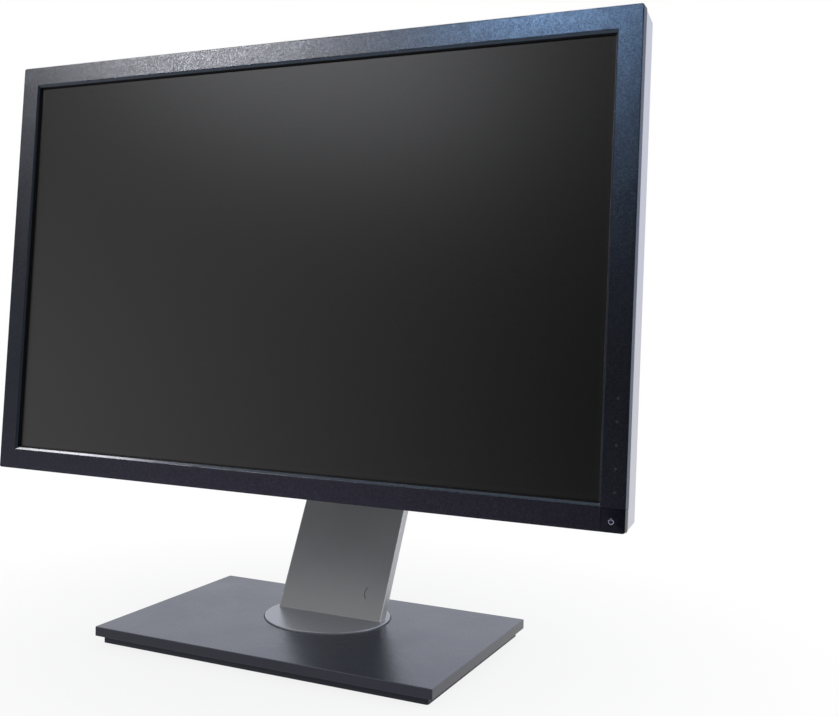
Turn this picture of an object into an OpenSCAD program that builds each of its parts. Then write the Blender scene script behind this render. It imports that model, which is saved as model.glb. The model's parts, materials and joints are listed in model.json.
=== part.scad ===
// Desktop computer monitor: a flat 24-inch screen head on a stand that tilts, swivels and slides up and down.
// Millimetres. X runs along the screen, Y from the screen's face to its back, Z up.
// The origin is on the desk, under the middle of the base.

/* [Head] */
// Width of the head
head_w = 559.7; // [530:0.1:580]
// Height of the head
head_h = 361; // [350:0.5:370]
// Depth of the head, from its front face to the back of its cover
head_d = 81; // [78:0.5:90]
// Height of the middle of the front face above the desk, with the stand raised
head_z = 315; // [310:1:325]
// Backward tilt of the head at rest
rest_tilt = 4.2; // [0:0.1:8]
// Radius of the head's corners, seen from the front
corner_r = 1.8; // [1.2:0.1:6]

/* [Front bezel] */
// Width of the bezel's flat face at the left and the right
bezel_side = 17; // [15:0.1:20]
// Width of the bezel's flat face at the top
bezel_top = 16.25; // [15:0.05:20]
// Width of the bezel's flat face at the bottom
bezel_bottom = 16.9; // [15:0.1:20]
// Width of the bevel down to the screen at the left and the right
bevel_side = 1.8; // [1:0.1:3]
// Width of the bevel down to the screen at the top and the bottom
bevel_end = 3; // [1.5:0.1:4]
// Depth of that bevel, which is also the thickness of the bezel's face
bevel_d = 3; // [2:0.1:4]
// Depth of the bezel's skirt
bezel_d = 9; // [8.5:0.1:12]
// Wall of the bezel's skirt
bezel_wall = 2.2; // [1.6:0.1:3]
// Chamfer round the front edge of the bezel
bezel_edge = 0.5; // [0.3:0.1:1]

/* [Keys] */
// Width of the power key in the lower right corner
key_w = 16.6; // [14:0.1:18]
// Height of the power key
key_h = 16.1; // [14:0.1:18]
// Travel of the power key
key_travel = 0.6; // [0.4:0.1:0.8]
// Outer radius of the light ring in the power key
ring_r = 1.95; // [1.6:0.05:3]
// Width of the light ring
ring_w = 0.5; // [0.4:0.1:0.8]
// Number of touch marks up the right side of the bezel
marks = 5; // [3:1:5]
// Spacing of the touch marks
mark_pitch = 15.85; // [12:0.05:17]
// Height of the lowest touch mark above the lower edge of the head
mark_first = 27; // [22:0.5:34]
// Radius of a touch mark
mark_r = 1; // [0.8:0.1:1.5]

/* [Side band] */
// Depth of the metal band behind the bezel
band_d = 21; // [18:0.1:24]
// Depth of the band's straight front part
band_flat = 7; // [5:0.5:9]
// How far the band's back edge lies inside the head's sides
band_in_side = 0.5; // [0.4:0.1:2]
// How far the band's back edge lies inside the head's top and bottom
band_in_end = 4; // [3:0.1:7]
// Wall of the band
band_skin = 1.6; // [1.2:0.1:2]
// Width of the lip at the band's back edge
band_wall = 3.2; // [2.5:0.1:4]

/* [Screen] */
// How far the screen's own frame reaches out behind the bezel
panel_lip = 5; // [4:0.5:6]
// Thickness of the screen's glass
glass_t = 1.6; // [1.2:0.1:2]
// Thickness of the stack of optical films
film_t = 0.9; // [0.6:0.1:1.4]
// Thickness of the light guide
guide_t = 6; // [5:0.5:8]
// Radius of a backlight tube
tube_r = 1.3; // [1:0.1:1.4]
// Thickness of the steel sheet in the head
sheet_t = 0.8; // [0.6:0.1:1.2]
// Space for the panel's own board between the screen and the chassis plate
panel_space = 8; // [6:0.5:9]

/* [Rear cover] */
// Wall of the rear cover
cover_wall = 2.4; // [2:0.1:3]
// Depth of the cover's sloped rim, from the band to the flat shelf
rim_d = 8; // [7:0.1:12]
// How far the rim slopes in
rim_in = 12; // [8:0.5:16]
// Distance of the hump's foot from the head's sides
hump_side = 64.85; // [55:0.05:70]
// Distance of the hump's foot from the head's top and bottom
hump_end = 49.5; // [42:0.5:52]
// How far the hump's sides slope in on the way to its back
hump_in = 29; // [20:1:34]
// Width of the bay for the plugs, under the hump
bay_w = 320; // [316:1:330]
// Distance of the bay's ceiling below the middle of the head
bay_z = 84; // [82:0.5:90]
// Width of an air slot
vent_w = 5; // [3:0.5:6]
// Spacing of the air slots
vent_pitch = 10; // [8:0.5:14]

/* [Head mount] */
// Side of the square of fixing holes in the back of the head
mount_pitch = 100; // [75:25:100]
// Radius of a fixing hole
mount_hole_r = 2; // [1.5:0.1:2.5]
// Side of the stand's square mounting plate
mount_plate_w = 118; // [116:0.5:120]
// Thickness of the mounting plate
mount_plate_t = 2.5; // [2:0.1:3]
// Radius of the pivot bearing
pivot_r = 28; // [24:0.5:30]
// Distance of the tilt hinge behind the head
hinge_gap = 25; // [24:0.5:30]
// Radius of the tilt pin
pin_r = 4; // [3:0.1:5]
// Radius of the hinge's ears
ear_r = 10; // [9:0.1:12]
// Thickness of an ear
ear_t = 4; // [3:0.1:5]
// Half of the width between the ears
ear_x = 26; // [25:0.5:28]

/* [Release and lock] */
// Width of the release button
button_w = 14; // [12:0.5:16]
// Height of the release button
button_h = 9; // [8:0.5:9.5]
// Travel of the release button and of its latch
button_travel = 2.5; // [1.5:0.1:2.5]
// Width of the latch
latch_w = 10; // [8:0.5:12]
// Radius of the round lock button on the neck
lock_r = 5; // [4:0.5:5.5]
// Travel of the lock button
lock_travel = 2; // [1:0.5:2.5]

/* [Neck] */
// Width of the neck
neck_w = 99.5; // [96:0.5:110]
// Place of the neck's front edge on the turntable
neck_foot_y = 25; // [22:0.5:30]
// Place of the upright part's front face
riser_y = 78; // [74:0.5:79]
// Lean of the neck's lower part
neck_lean = 27.7; // [24:0.1:30]
// Radius of the bend between the leaning part and the upright part
bend_r = 60; // [40:1:70]
// Depth of the front cover, square to its face
front_cover_d = 9; // [8:0.5:10]
// Depth of the rear cover, square to its face
rear_cover_d = 12; // [11.5:0.5:13]
// How far the rear cover is set in from the neck's sides
rear_cover_in = 9.8; // [6:0.1:10]
// Wall of the neck's covers
neck_wall = 2.2; // [1.8:0.1:2.5]
// Thickness of the steel spine
spine_t = 2; // [1.5:0.1:2.5]
// Height of the cable hole's middle above the desk
cable_z = 146; // [144:0.5:150]
// Width of the cable hole
cable_w = 40; // [34:1:46]
// Height of the cable hole
cable_h = 22; // [18:0.5:24]

/* [Height slide] */
// Travel of the height slide
height_travel = 100; // [90:1:104]
// Distance from the riser's front face to the tilt hinge
arm_reach = 40; // [36:0.5:44]
// Width of the tilt arm
arm_w = 40; // [36:0.5:42]
// Thickness of the tilt arm
arm_t = 18; // [16:0.5:20]
// Height of the carriage above the hinge's height
carriage_up = 30; // [28:0.5:32]
// Height of the carriage below the hinge's height
carriage_down = 31; // [30:0.5:32]
// Width of the rails
rail_w = 7; // [6:0.1:8]
// Thickness of the rails
rail_t = 2.8; // [2:0.1:3]
// Thickness of the lift spring's band
band_t = 0.4; // [0.3:0.1:0.5]

/* [Base] */
// Width of the base
base_w = 303; // [290:1:330]
// Depth of the base
base_d = 203; // [198:1:220]
// Height of the base's top face above the desk
base_h = 15; // [14.5:0.1:17]
// Height of the base cover's side
base_side_h = 7.7; // [7:0.1:8]
// How far the tray under the base is set in
tray_in = 5; // [4:0.5:10]
// Radius of the base's corners
base_r = 1; // [0.8:0.1:6]
// Height of the feet below the tray
foot_h = 1.2; // [1:0.1:1.5]
// Radius of a foot
foot_r = 9; // [7:0.5:12]
// Thickness of the steel plate in the base
plate_t = 4; // [3.5:0.1:4]

/* [Turntable] */
// Radius of the turntable disc
disc_r = 54.4; // [52:0.1:60]
// Place of the turntable's axis along the base's depth
disc_y = 24; // [20:0.5:26]
// Width of the gap round the disc
disc_gap = 0.7; // [0.5:0.1:1]
// Height of the disc above the base's top
disc_up = 1.4; // [0.8:0.1:2]
// Thickness of the disc
disc_t = 2; // [1.5:0.1:2.5]
// Radius of the turntable's hub
hub_r = 14; // [12:0.5:16]

/* [Clearances] */
// Clearance between parts that lie side by side
gap = 0.3; // [0.2:0.05:0.35]
// Radial clearance of a turning fit
run = 0.05; // [0.02:0.01:0.08]
// Radial clearance of a screw or rivet in its hole
snug = 0.02; // [0.01:0.01:0.04]

/* [Hidden] */
$fn = 48;
eps = 0.01;
hull_sides = 32;

// Head, front to back
open_w = head_w - 2 * (bezel_side + bevel_side);
open_h = head_h - bezel_top - bezel_bottom - 2 * bevel_end;
open_z = (bezel_bottom - bezel_top) / 2;
band_y = bezel_d;
cover_y = band_y + band_d;
shelf_y = cover_y + rim_d;
hump_w = head_w - 2 * hump_side;
hump_h = head_h - 2 * hump_end;
key_x = head_w / 2 - key_w;
key_z = -head_h / 2 + key_h;
key_wall = 1.5;
ring_in = 9.45;
ring_up = 7.4;
ring_x = head_w / 2 - ring_in;
ring_z = -head_h / 2 + ring_up;
ring_d = 1.5;
mark_side = 7.8;
mark_x = head_w / 2 - mark_side;
side_slack = 0.2;
end_slack = 0.8;
flat_side_slack = 0.3;
flat_end_slack = 1.8;
band_lip_t = 2;
rim_tuck_side = 1.4;
rim_tuck_end = 0.9;
rim_side = band_in_side + band_wall - rim_tuck_side;
rim_end = band_in_end + band_wall - rim_tuck_end;

// Screen module
panel_w = open_w + 2 * panel_lip;
panel_h = open_h + 2 * panel_lip;
frame_y = bevel_d + gap;
glass_y = frame_y + sheet_t + gap;
film_y = glass_y + glass_t + gap;
guide_y = film_y + film_t + gap;
tray_y = guide_y + guide_t + gap;
tray_back = tray_y + sheet_t;
tray_w = panel_w - 2 * (sheet_t + gap);
tray_h = panel_h - 2 * (sheet_t + gap);
stack_w = tray_w - 2 * (sheet_t + gap);
stack_h = tray_h - 2 * (sheet_t + gap);
tube_room = 2 * tube_r + 2 * gap;
tube_z = stack_h / 2 - tube_room / 2;
tube_side = 8;
tube_x = stack_w / 2 - tube_side;
holder_w = 12;
chassis_y = tray_back + panel_space;
chassis_back = chassis_y + 1;
chassis_in = 16;
chassis_w = panel_w - 2 * chassis_in;
chassis_h = panel_h - 2 * chassis_in;

// Place of a cover screw, one in each corner of the shelf
cover_screw_side = 10;
cover_screw_end = 8;
cover_screw_x = chassis_w / 2 - cover_screw_side;
cover_screw_z = chassis_h / 2 - cover_screw_end;

// Slot for a cable lock, beside the bay
lock_slot_w = 7;
lock_slot_h = 3;
lock_slot_x = (bay_w + hump_w) / 4 - hump_in / 2 - lock_slot_w / 2;

// Touch board behind the right side of the bezel
touch_board_y = bezel_d + 1;
touch_board_w = 10;
touch_board_t = 1.6;
touch_board_shift = 0.4;
touch_board_x = mark_x - touch_board_shift;
touch_board_end = 5.5;
touch_board_low = -head_h / 2 + touch_board_end;
touch_board_over = 6;
switch_half = 2.8;
switch_h = 3;

// Boards in the head
board_t = 1.6;
board_y = shelf_y + 1;
board_back = board_y + board_t;
board_over = 6;
board_low = -bay_z + board_over;
board_top = 80;
board_side = 3;
board_edge = bay_w / 2 + board_side;
board_split = 24;
stand_off_r = 3;
stand_off_in = 8;
stand_off_up = 22;
screw_r = 1.5;
head_r = 3.4;
sink_r = 3.8;
sink_d = 1.2;
post_r = 6;
vent_side = 60;
vent_y = 6;
vent_back = 8;
low_vent_z0 = 18;
low_vent_z1 = 6;
panel_board_w = 260;
panel_board_h = 70;
panel_board_up = 40;
driver_w = 16;
driver_t = 2.2;
driver_pitch = 60;
chip_t = 2.6;
big_chip = 28;
small_chip = 20;

// Tall parts on the power board
capacitor_r = 9;
capacitor_h = 18;
transformer_w = 32;
transformer_h = 17;
sink_w = 4;
sink_h = 38;
relay_w = 26;
relay_h = 20;
small_capacitor_r = 4;

// Shield over the boards
can_room = 21;
can_back = board_back + can_room;
can_side = 3;
can_w = 2 * (board_edge + can_side);
can_over = 5;
can_top = board_top + can_over;
hole_pitch = 12;
hole_w = 4;

// Sockets in the ceiling of the bay
socket_tall = 22;
socket_low = -bay_z - 1;
socket_deep = 12;
inlet_x = 118;
inlet_w = 28;
inlet_d = 20;
inlet_wall = 1.8;
inlet_deep = 15;
inlet_pin = 6;
// Video sockets: place along X, width and depth
video_list = [[-132, 40, 12], [-84, 40, 12], [-42, 31, 12], [-10, 18, 7.5], [14, 18, 7.5]];
// Data sockets: place along X, width and depth
data_list = [[40, 13, 12], [60, 15, 7.5], [80, 15, 7.5]];

// Sockets in the hump's left side
side_socket_in = 16;
side_socket_rise = 8;
side_socket_x = hump_w / 2 - side_socket_in;
side_socket_y = shelf_y + side_socket_rise;
side_socket_d = 14;
side_socket_low = 8;
side_socket_high = 62;
side_port_h = 13;
side_port_w = 6;
card_slot_w = 3;

// Head mount
mount_sink = 3;
mount_y = head_d - mount_sink;
mount_side = 3;
mount_frame_w = mount_plate_w + 2 * mount_side;
mount_room = 1;
mount_window = mount_frame_w + 2 * mount_room;
mount_t = 2;
mount_hole_d = 14;
plate_y = mount_y + 0.2;
plate_back = plate_y + mount_plate_t;
pivot_t = 3;
wave_t = 1;
washer_y = plate_back + pivot_t;
bracket_y = washer_y + wave_t;
bracket_t = 3;
hinge_back = head_d + hinge_gap;
hinge_y = riser_y - arm_reach;
hinge_z = head_z - hinge_back * sin(rest_tilt);
washer_t = 1.4;
barrel_x = ear_x - washer_t - 2 * 0.1;
rivet_r = 8;
rivet_lip = 4;
rivet_head_r = rivet_r + rivet_lip;
rivet_head_t = 2;
ear_foot = 6;
spring_wire = 1.1;
spring_turns = 5;
spring_x = ear_x + ear_t + gap;
spring_len = spring_turns * spring_wire * 2;
pin_room = 2;
pin_lip = 3;
pin_x = spring_x + spring_len + pin_room;
pin_head_r = pin_r + pin_lip;
pin_head_t = 3;

// Release button and latch, in the head's frame
button_drop = 5.5;
button_out = 1.8;
button_len = 11;
ramp_len = 6;
latch_t = 2;
latch_tip_t = 1.6;
button_top = -mount_window / 2 - button_drop;
button_low = button_top - button_h;
button_front = head_d - button_len;
button_back = head_d + button_out;
ramp = button_low + button_front + ramp_len;
latch_front = can_back + 1;
latch_top = -mount_plate_w / 2 - gap;
latch_hook = 3;
latch_nose = latch_top - latch_hook;
latch_low = button_low - 1;
latch_tip = plate_back + 0.2;
latch_ramp = ramp - 0.5;

// Neck path: offset d is measured square to the front face
disc_top = base_h + disc_up;
vertex_z = disc_top + (riser_y - neck_foot_y) / tan(neck_lean);
bend_z = vertex_z + bend_r * tan(neck_lean / 2);
bend_y = riser_y - bend_r;
bend_steps = 8;
spine_d0 = neck_wall + gap;
spine_d1 = front_cover_d + rear_cover_d - neck_wall - gap;
spine_room = 2;
spine_w = neck_w - 2 * (rear_cover_in + neck_wall + spine_room);
spine_x = spine_w / 2 - spine_t;
web_d = spine_d1 - spine_t;
carriage_top = hinge_z + carriage_up;
carriage_low = hinge_z - carriage_down;
rail_over = 4;
rail_under = 2;
riser_over = 10;
slot_room = 3;
rail_top = carriage_top + rail_over;
riser_top = rail_top + riser_over;
slot_low = hinge_z - height_travel - arm_t / 2 - slot_room;
slot_w = arm_w + 2 * slot_room;
rail_low = carriage_low - height_travel - rail_under;
rail_set = 7;
rail_y0 = riser_y + rail_set;
rail_x = spine_x - rail_t;
glide_in = 3;
carriage_x = rail_x - gap - glide_in;
flange_t = 3.3;
flange_y = riser_y + neck_wall + 1;
carriage_y0 = flange_y + flange_t;
band_y1 = riser_y + web_d - gap;
carriage_y1 = band_y1 - band_t - 2 * gap;
coil_r = 5.5;
drum_y = band_y1 - band_t - gap - coil_r;
drum_down = 20;
drum_z = hinge_z - drum_down;
drum_x = 21;
drum_end_t = 1.2;
spool_r = 3;
spring_in = 1.5;
band_w = 2 * (drum_x - spring_in);
anchor_d = 2.5;
glide_h = 14;
glide_out = 2.2;
axle_r = 1.8;
lock_z = cable_z + cable_h / 2 + 3 + lock_r;
lock_in = 1.5;
lock_hole_y0 = 10;
lock_hole_y1 = 40;
lock_out = lock_travel + 0.2;
grommet_wall = 1.8;
grommet_out = 0.6;
neck_d = front_cover_d + rear_cover_d;
rear_top = riser_top - neck_wall - 0.5;
rear_w = neck_w - 2 * rear_cover_in;

// Base and turntable
tray_h0 = foot_h;
tray_h1 = base_h - base_side_h + 0.1;
steel_top = tray_h1 + plate_t;
cover_in = tray_in - 0.2;
bush_t = 1;
bush_wall = 2;
bush_top = steel_top + bush_t;
disc_z = disc_top - disc_t;
hub_rise = 3.3;
hub_low = tray_h0 + hub_rise;
nut_t = 2.7;
nut_lip = 8;
nut_r = hub_r + nut_lip;
thumb_r = 12;
thumb_pin_r = 4;
foot_in = 21;
foot_sink = 1;
foot_room = 3;
middle_foot_r = min(foot_r, disc_y - thumb_r - foot_room);
bush_flange = 14;
bush_flange_r = hub_r + bush_flange;
plate_in = 4;
neck_screw_r = 2.2;
neck_screw_in = 5;
spine_foot_t = 3;
disc_edge = 0.6;
cover_edge = 0.6;
tray_wall = 3;
tray_r = base_r + 1;
tray_floor = 2.6;
tray_ribs = [-100, -70, 70, 100];
rib_w = 2;
spine_foot_in = 3.5;
spine_foot_d = 17.5;
spine_foot_y0 = neck_foot_y + spine_foot_in;
spine_foot_y1 = spine_foot_y0 + spine_foot_d;
neck_screw_side = 8;
neck_screw_x = spine_w / 2 - neck_screw_side;

// Rectangle with round corners, centred
module rounded(w, h, r) {
  square([w - 2 * r, h], center = true);
  square([w, h - 2 * r], center = true);
  for (x = [-1, 1], y = [-1, 1]) translate([x * (w / 2 - r), y * (h / 2 - r)]) circle(r);
}

// Upright plate facing Y, from y0 to y1
module slab(w, h, r, y0, y1)
  translate([0, y1, 0]) rotate([90, 0, 0]) linear_extrude(y1 - y0) rounded(w, h, r);

// Block from one corner to the other
module block(low, high) translate(low) cube(high - low);

// Block that is symmetrical about X = 0
module middle_block(w, low, high) block([-w / 2, low[0], low[1]], [w / 2, high[0], high[1]]);

// Round bar along Y at x, z
module rod(r, x, z, y0, y1) translate([x, y1, z]) rotate([90, 0, 0]) cylinder(r = r, h = y1 - y0);

// Round bar along X at y, z
module bar(r, y, z, x0, x1) translate([x0, y, z]) rotate([0, 90, 0]) cylinder(r = r, h = x1 - x0);

// Outline in the YZ plane, drawn along X
module along_x(x0, x1) translate([x0, 0, 0]) rotate([90, 0, 90]) linear_extrude(x1 - x0) children();

// Solid that runs from one upright rectangle to a smaller one
module taper(w0, h0, y0, w1, h1, y1) hull($fn = hull_sides) {
  slab(w0, h0, corner_r, y0, y0 + eps, $fn = hull_sides);
  slab(w1, h1, corner_r, y1 - eps, y1, $fn = hull_sides);
}

// Places the head's parts, whose own origin is the middle of the front face
module in_head()
  translate([0, hinge_y, hinge_z]) rotate([-rest_tilt, 0, 0]) translate([0, -hinge_back, 0]) children();

// Four places of the head's fixing holes
module at_mounts() for (x = [-1, 1], z = [-1, 1])
  translate([x * mount_pitch / 2, 0, z * mount_pitch / 2]) children();

// ---- Head: covers and keys ----

module bezel_form() union() {
  taper(head_w - 2 * bezel_edge, head_h - 2 * bezel_edge, 0, head_w, head_h, bezel_edge + eps);
  slab(head_w, head_h, corner_r, bezel_edge, bezel_d);
}

module key_space(g) block([key_x - g, -1, -head_h / 2 - 1], [head_w / 2 + 1, bezel_d + 1, key_z + g]);

module front_bezel() color("#2c2e3a") in_head() difference() {
  bezel_form();
  translate([0, 0, open_z])
    taper(open_w + 2 * bevel_side, open_h + 2 * bevel_end, -eps, open_w, open_h, bevel_d + eps);
  translate([0, 0, open_z]) slab(open_w, open_h, 0.5, 0, bezel_d);
  slab(head_w - 2 * bezel_wall, head_h - 2 * bezel_wall, 1.5, bevel_d, bezel_d + 1);
  key_space(gap);
  for (i = [0:marks - 1]) rod(mark_r + snug, mark_x, mark_z(i), -1, bevel_d + 1);
}

function mark_z(i) = -head_h / 2 + mark_first + i * mark_pitch;

module touch_marks() color("#3a4150") in_head()
  for (i = [0:marks - 1]) rod(mark_r, mark_x, mark_z(i), 0, touch_board_y);

module touch_board() color("#1f5a3c") in_head() union() {
  translate([touch_board_x, touch_board_y, 0]) block([-touch_board_w / 2, 0, touch_board_low],
        [touch_board_w / 2, touch_board_t, mark_z(marks - 1) + touch_board_over]);
  block([ring_x - switch_half, touch_board_y - switch_h, ring_z - switch_half],
        [ring_x + switch_half, touch_board_y, ring_z + switch_half]);
}

module power_key() color("#343746") in_head() difference() {
  intersection() {
    bezel_form();
    key_space(0);
    block([key_x, 0, -head_h / 2], [head_w / 2, bezel_d - key_travel - gap, key_z]);
  }
  block([key_x + key_wall, bevel_d - 0.5, -head_h / 2 + bezel_wall],
        [head_w / 2 - bezel_wall, bezel_d + 1, key_z - key_wall]);
  block([key_x - 1, bevel_d - 0.5, -panel_h / 2 + open_z - gap], [panel_w / 2 + gap, bezel_d + 1, key_z + 1]);
  difference() {
    rod(ring_r + snug, ring_x, ring_z, -1, ring_d);
    rod(ring_r - ring_w - snug, ring_x, ring_z, -2, ring_d + 1);
  }
}

module power_ring() color("#8fa6bd") in_head() difference() {
  rod(ring_r, ring_x, ring_z, 0, ring_d);
  rod(ring_r - ring_w, ring_x, ring_z, -1, ring_d + 1);
}

module side_band() color("#b9bcc6") in_head() difference() {
  hull($fn = hull_sides) {
    slab(head_w - 2 * side_slack, head_h - 2 * end_slack, corner_r, band_y, band_y + eps, $fn = hull_sides);
    slab(head_w - 2 * flat_side_slack, head_h - 2 * flat_end_slack, corner_r,
         band_y + band_flat, band_y + band_flat + eps, $fn = hull_sides);
    slab(head_w - 2 * band_in_side, head_h - 2 * band_in_end, corner_r,
         cover_y - eps, cover_y, $fn = hull_sides);
  }
  taper(head_w - 2 * (side_slack + band_skin), head_h - 2 * (end_slack + band_skin), band_y - eps,
        head_w - 2 * (band_in_side + band_skin), head_h - 2 * (band_in_end + band_skin),
        cover_y - band_lip_t);
  slab(head_w - 2 * (band_in_side + band_wall), head_h - 2 * (band_in_end + band_wall), 1.5,
       band_y, cover_y + 1);
}

// The rear cover's form, drawn in by g, with the plug bay taken out
module back_form(g) {
  rim_w = head_w - 2 * (rim_side + g);
  rim_h = head_h - 2 * (rim_end + g);
  foot_w = hump_w - 2 * g;
  foot_h = hump_h - 2 * g;
  difference() {
    union() {
      taper(rim_w, rim_h, cover_y - (g > 0 ? 1 : 0), rim_w - 2 * rim_in, rim_h - 2 * rim_in, shelf_y - g);
      taper(foot_w, foot_h, shelf_y - g - 1, foot_w - 2 * hump_in, foot_h - 2 * hump_in, head_d - g);
    }
    block([-bay_w / 2 - g, shelf_y - g, -hump_h / 2 - 1], [bay_w / 2 + g, head_d + 1, -bay_z + g]);
  }
}

// Room round each socket, through the bay's ceiling
module socket_holes(g, z0, z1) {
  for (s = concat(video_list, data_list, [[inlet_x, inlet_w, inlet_d]]))
    block([s[0] - s[1] / 2 - g, board_back - g, z0], [s[0] + s[1] / 2 + g, board_back + s[2] + g, z1]);
}

module rear_cover() color("#17181c") in_head() difference() {
  back_form(0);
  back_form(cover_wall);
  slab(mount_window, mount_window, 4, head_d - 8, head_d + 1);
  middle_block(button_w + 2 * gap, [head_d - 8, button_low - gap], [head_d + 1, button_top + gap]);
  middle_block(latch_w + 2 * gap, [head_d - 8, latch_nose - button_travel - gap], [head_d + 1, 0]);
  socket_holes(gap, -bay_z - 1, -bay_z + cover_wall + 1);
  block([-hump_w / 2 - 1, side_socket_y - gap, side_socket_low - gap],
        [-side_socket_x + 8, side_socket_y + side_socket_d + gap, side_socket_high + gap]);
  for (x = [-hump_w / 2 + vent_side : vent_pitch : hump_w / 2 - vent_side])
    block([x - vent_w / 2, shelf_y + vent_y, hump_h / 2 - hump_in - vent_back],
          [x + vent_w / 2, head_d - vent_back, hump_h / 2 + 1]);
  for (x = [-hump_w / 2 : vent_pitch : hump_w / 2])
    block([x - vent_w / 2, shelf_y - cover_wall - 1, -hump_h / 2 - low_vent_z0],
          [x + vent_w / 2, shelf_y + 1, -hump_h / 2 - low_vent_z1]);
  for (x = [-1, 1], z = [-1, 1]) {
    rod(screw_r + gap, x * cover_screw_x, z * cover_screw_z, shelf_y - 5, shelf_y + 1);
    rod(sink_r, x * cover_screw_x, z * cover_screw_z, shelf_y - sink_d, shelf_y + 1);
  }
  block([lock_slot_x, head_d - 6, -bay_z - lock_slot_h], [lock_slot_x + lock_slot_w, head_d + 1, -bay_z]);
}

module cover_screws() color("#404248") in_head() for (x = [-1, 1], z = [-1, 1]) {
  rod(screw_r, x * cover_screw_x, z * cover_screw_z, chassis_back + 4, shelf_y - 1);
  rod(head_r, x * cover_screw_x, z * cover_screw_z, shelf_y - sink_d, shelf_y - 0.1);
}

// ---- Head: screen module ----

module panel_frame() color("#3b3d42") in_head() translate([0, 0, open_z]) difference() {
  slab(panel_w, panel_h, 1, frame_y, tray_back);
  slab(open_w - 0.6, open_h + 0.6, 0.5, frame_y - 1, tray_back);
  slab(panel_w - 2 * sheet_t, panel_h - 2 * sheet_t, 0.5, frame_y + sheet_t, tray_back + 1);
}

module reflector_tray() color("#d4d6d8") in_head() translate([0, 0, open_z]) difference() {
  slab(tray_w, tray_h, 0.5, glass_y, tray_back);
  slab(tray_w - 2 * sheet_t, tray_h - 2 * sheet_t, 0.2, glass_y - 1, tray_y);
}

module lcd_glass() color("#23252a") in_head() translate([0, 0, open_z])
  slab(stack_w, stack_h, 0.1, glass_y, glass_y + glass_t);

module optical_films() color("#e8ecef") in_head() translate([0, 0, open_z])
  slab(stack_w, stack_h, 0.1, film_y, film_y + film_t);

module light_guide() color("#dfe9ee") in_head() translate([0, 0, open_z])
  slab(stack_w, stack_h - 2 * tube_room - 2 * gap, 0.1, guide_y, guide_y + guide_t);

module tube_spots() for (s = [-1, 1], k = [-1, 1])
  translate([0, guide_y + guide_t / 2 + k * guide_t / 4, s * tube_z]) children();

module backlight_tubes() color("#f4f4ee") in_head() translate([0, 0, open_z])
  tube_spots() bar(tube_r, 0, 0, -tube_x, tube_x);

module tube_holders() color("#c8c8c4") in_head() translate([0, 0, open_z]) for (s = [-1, 1], e = [-1, 1])
  difference() {
    translate([e * (tube_x - 2), guide_y + guide_t / 2, s * tube_z])
      cube([holder_w, guide_t, tube_room], center = true);
    tube_spots() bar(tube_r + snug, 0, 0, -tube_x - snug, tube_x + snug);
  }

module panel_board() color("#2a6b45") in_head() translate([0, tray_back + gap, -panel_h / 2 + panel_board_up])
  union() {
    block([-panel_board_w / 2, 0, 0], [panel_board_w / 2, board_t, panel_board_h]);
    for (i = [-1.5:1.5]) translate([i * driver_pitch, board_t - eps, panel_board_h / 2])
      block([-driver_w / 2, 0, -driver_w / 2], [driver_w / 2, driver_t, driver_w / 2]);
  }

module stand_offs()
  for (x = [-1, 1], edge = [board_edge - stand_off_in, board_split + stand_off_in],
       z = [board_low + stand_off_up, board_top - stand_off_in])
    translate([x * edge, 0, z]) children();

module chassis_plate() color("#a9acb2") in_head() difference() {
  union() {
    slab(chassis_w, chassis_h, 2, tray_back, chassis_back);
    stand_offs() rod(stand_off_r, 0, 0, chassis_back - eps, board_y);
    for (x = [-1, 1], z = [-1, 1])
      rod(4, x * cover_screw_x, z * cover_screw_z, chassis_back - eps, shelf_y - cover_wall - gap);
  }
  slab(chassis_w - 2, chassis_h - 2, 1, tray_back - 1, chassis_y);
  stand_offs() rod(screw_r + snug, 0, 0, chassis_back + 4, board_y + 1);
  for (x = [-1, 1], z = [-1, 1])
    rod(screw_r + snug, x * cover_screw_x, z * cover_screw_z, chassis_back + 4, shelf_y + 1);
}

// ---- Head: electronics ----

module board(x0, x1) difference() {
  block([x0, board_y, board_low], [x1, board_back, board_top]);
  at_mounts() rod(post_r + 1, 0, 0, board_y - 1, board_back + 1);
  stand_offs() rod(screw_r + snug, 0, 0, board_y - 1, board_back + 1);
}

// Chip on the back of a board
module chip(w, x, z) translate([x, board_back - eps, z])
  block([-w / 2, 0, -w / 2], [w / 2, chip_t, w / 2]);

module main_board() color("#1f6b3f") in_head() union() {
  board(-board_edge, board_split - 1);
  chip(big_chip, -board_edge * 0.6, board_low * -0.1);
  chip(small_chip, -board_edge * 0.17, board_low * -0.1);
  chip(small_chip, -board_edge * 0.8, board_top * 0.6);
}

module power_board() color("#8a6b35") in_head() board(board_split + 1, board_edge);

module power_parts() color("#33363c") in_head() {
  middle = (board_split + board_edge) / 2;
  for (i = [0, 1])
    rod(capacitor_r, middle, i * 3 * capacitor_r - capacitor_r, board_back, board_back + capacitor_h);
  for (i = [-1, 0, 1])
    rod(small_capacitor_r, board_edge - transformer_w + i * 3 * small_capacitor_r, capacitor_r,
        board_back, board_back + capacitor_h - small_capacitor_r);
  block([middle + sink_w * 4, board_back, capacitor_h * 2 + eps],
        [middle + sink_w * 4 + transformer_w, board_back + transformer_h, capacitor_h * 2 + transformer_w]);
  block([middle - sink_w * 6, board_back, capacitor_h * 2],
        [middle - sink_w * 5, board_back + transformer_h, capacitor_h * 2 + sink_h]);
  block([middle + sink_w * 4, board_back, -relay_h * 2],
        [middle + sink_w * 4 + relay_w, board_back + transformer_h, -relay_h]);
}

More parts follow.
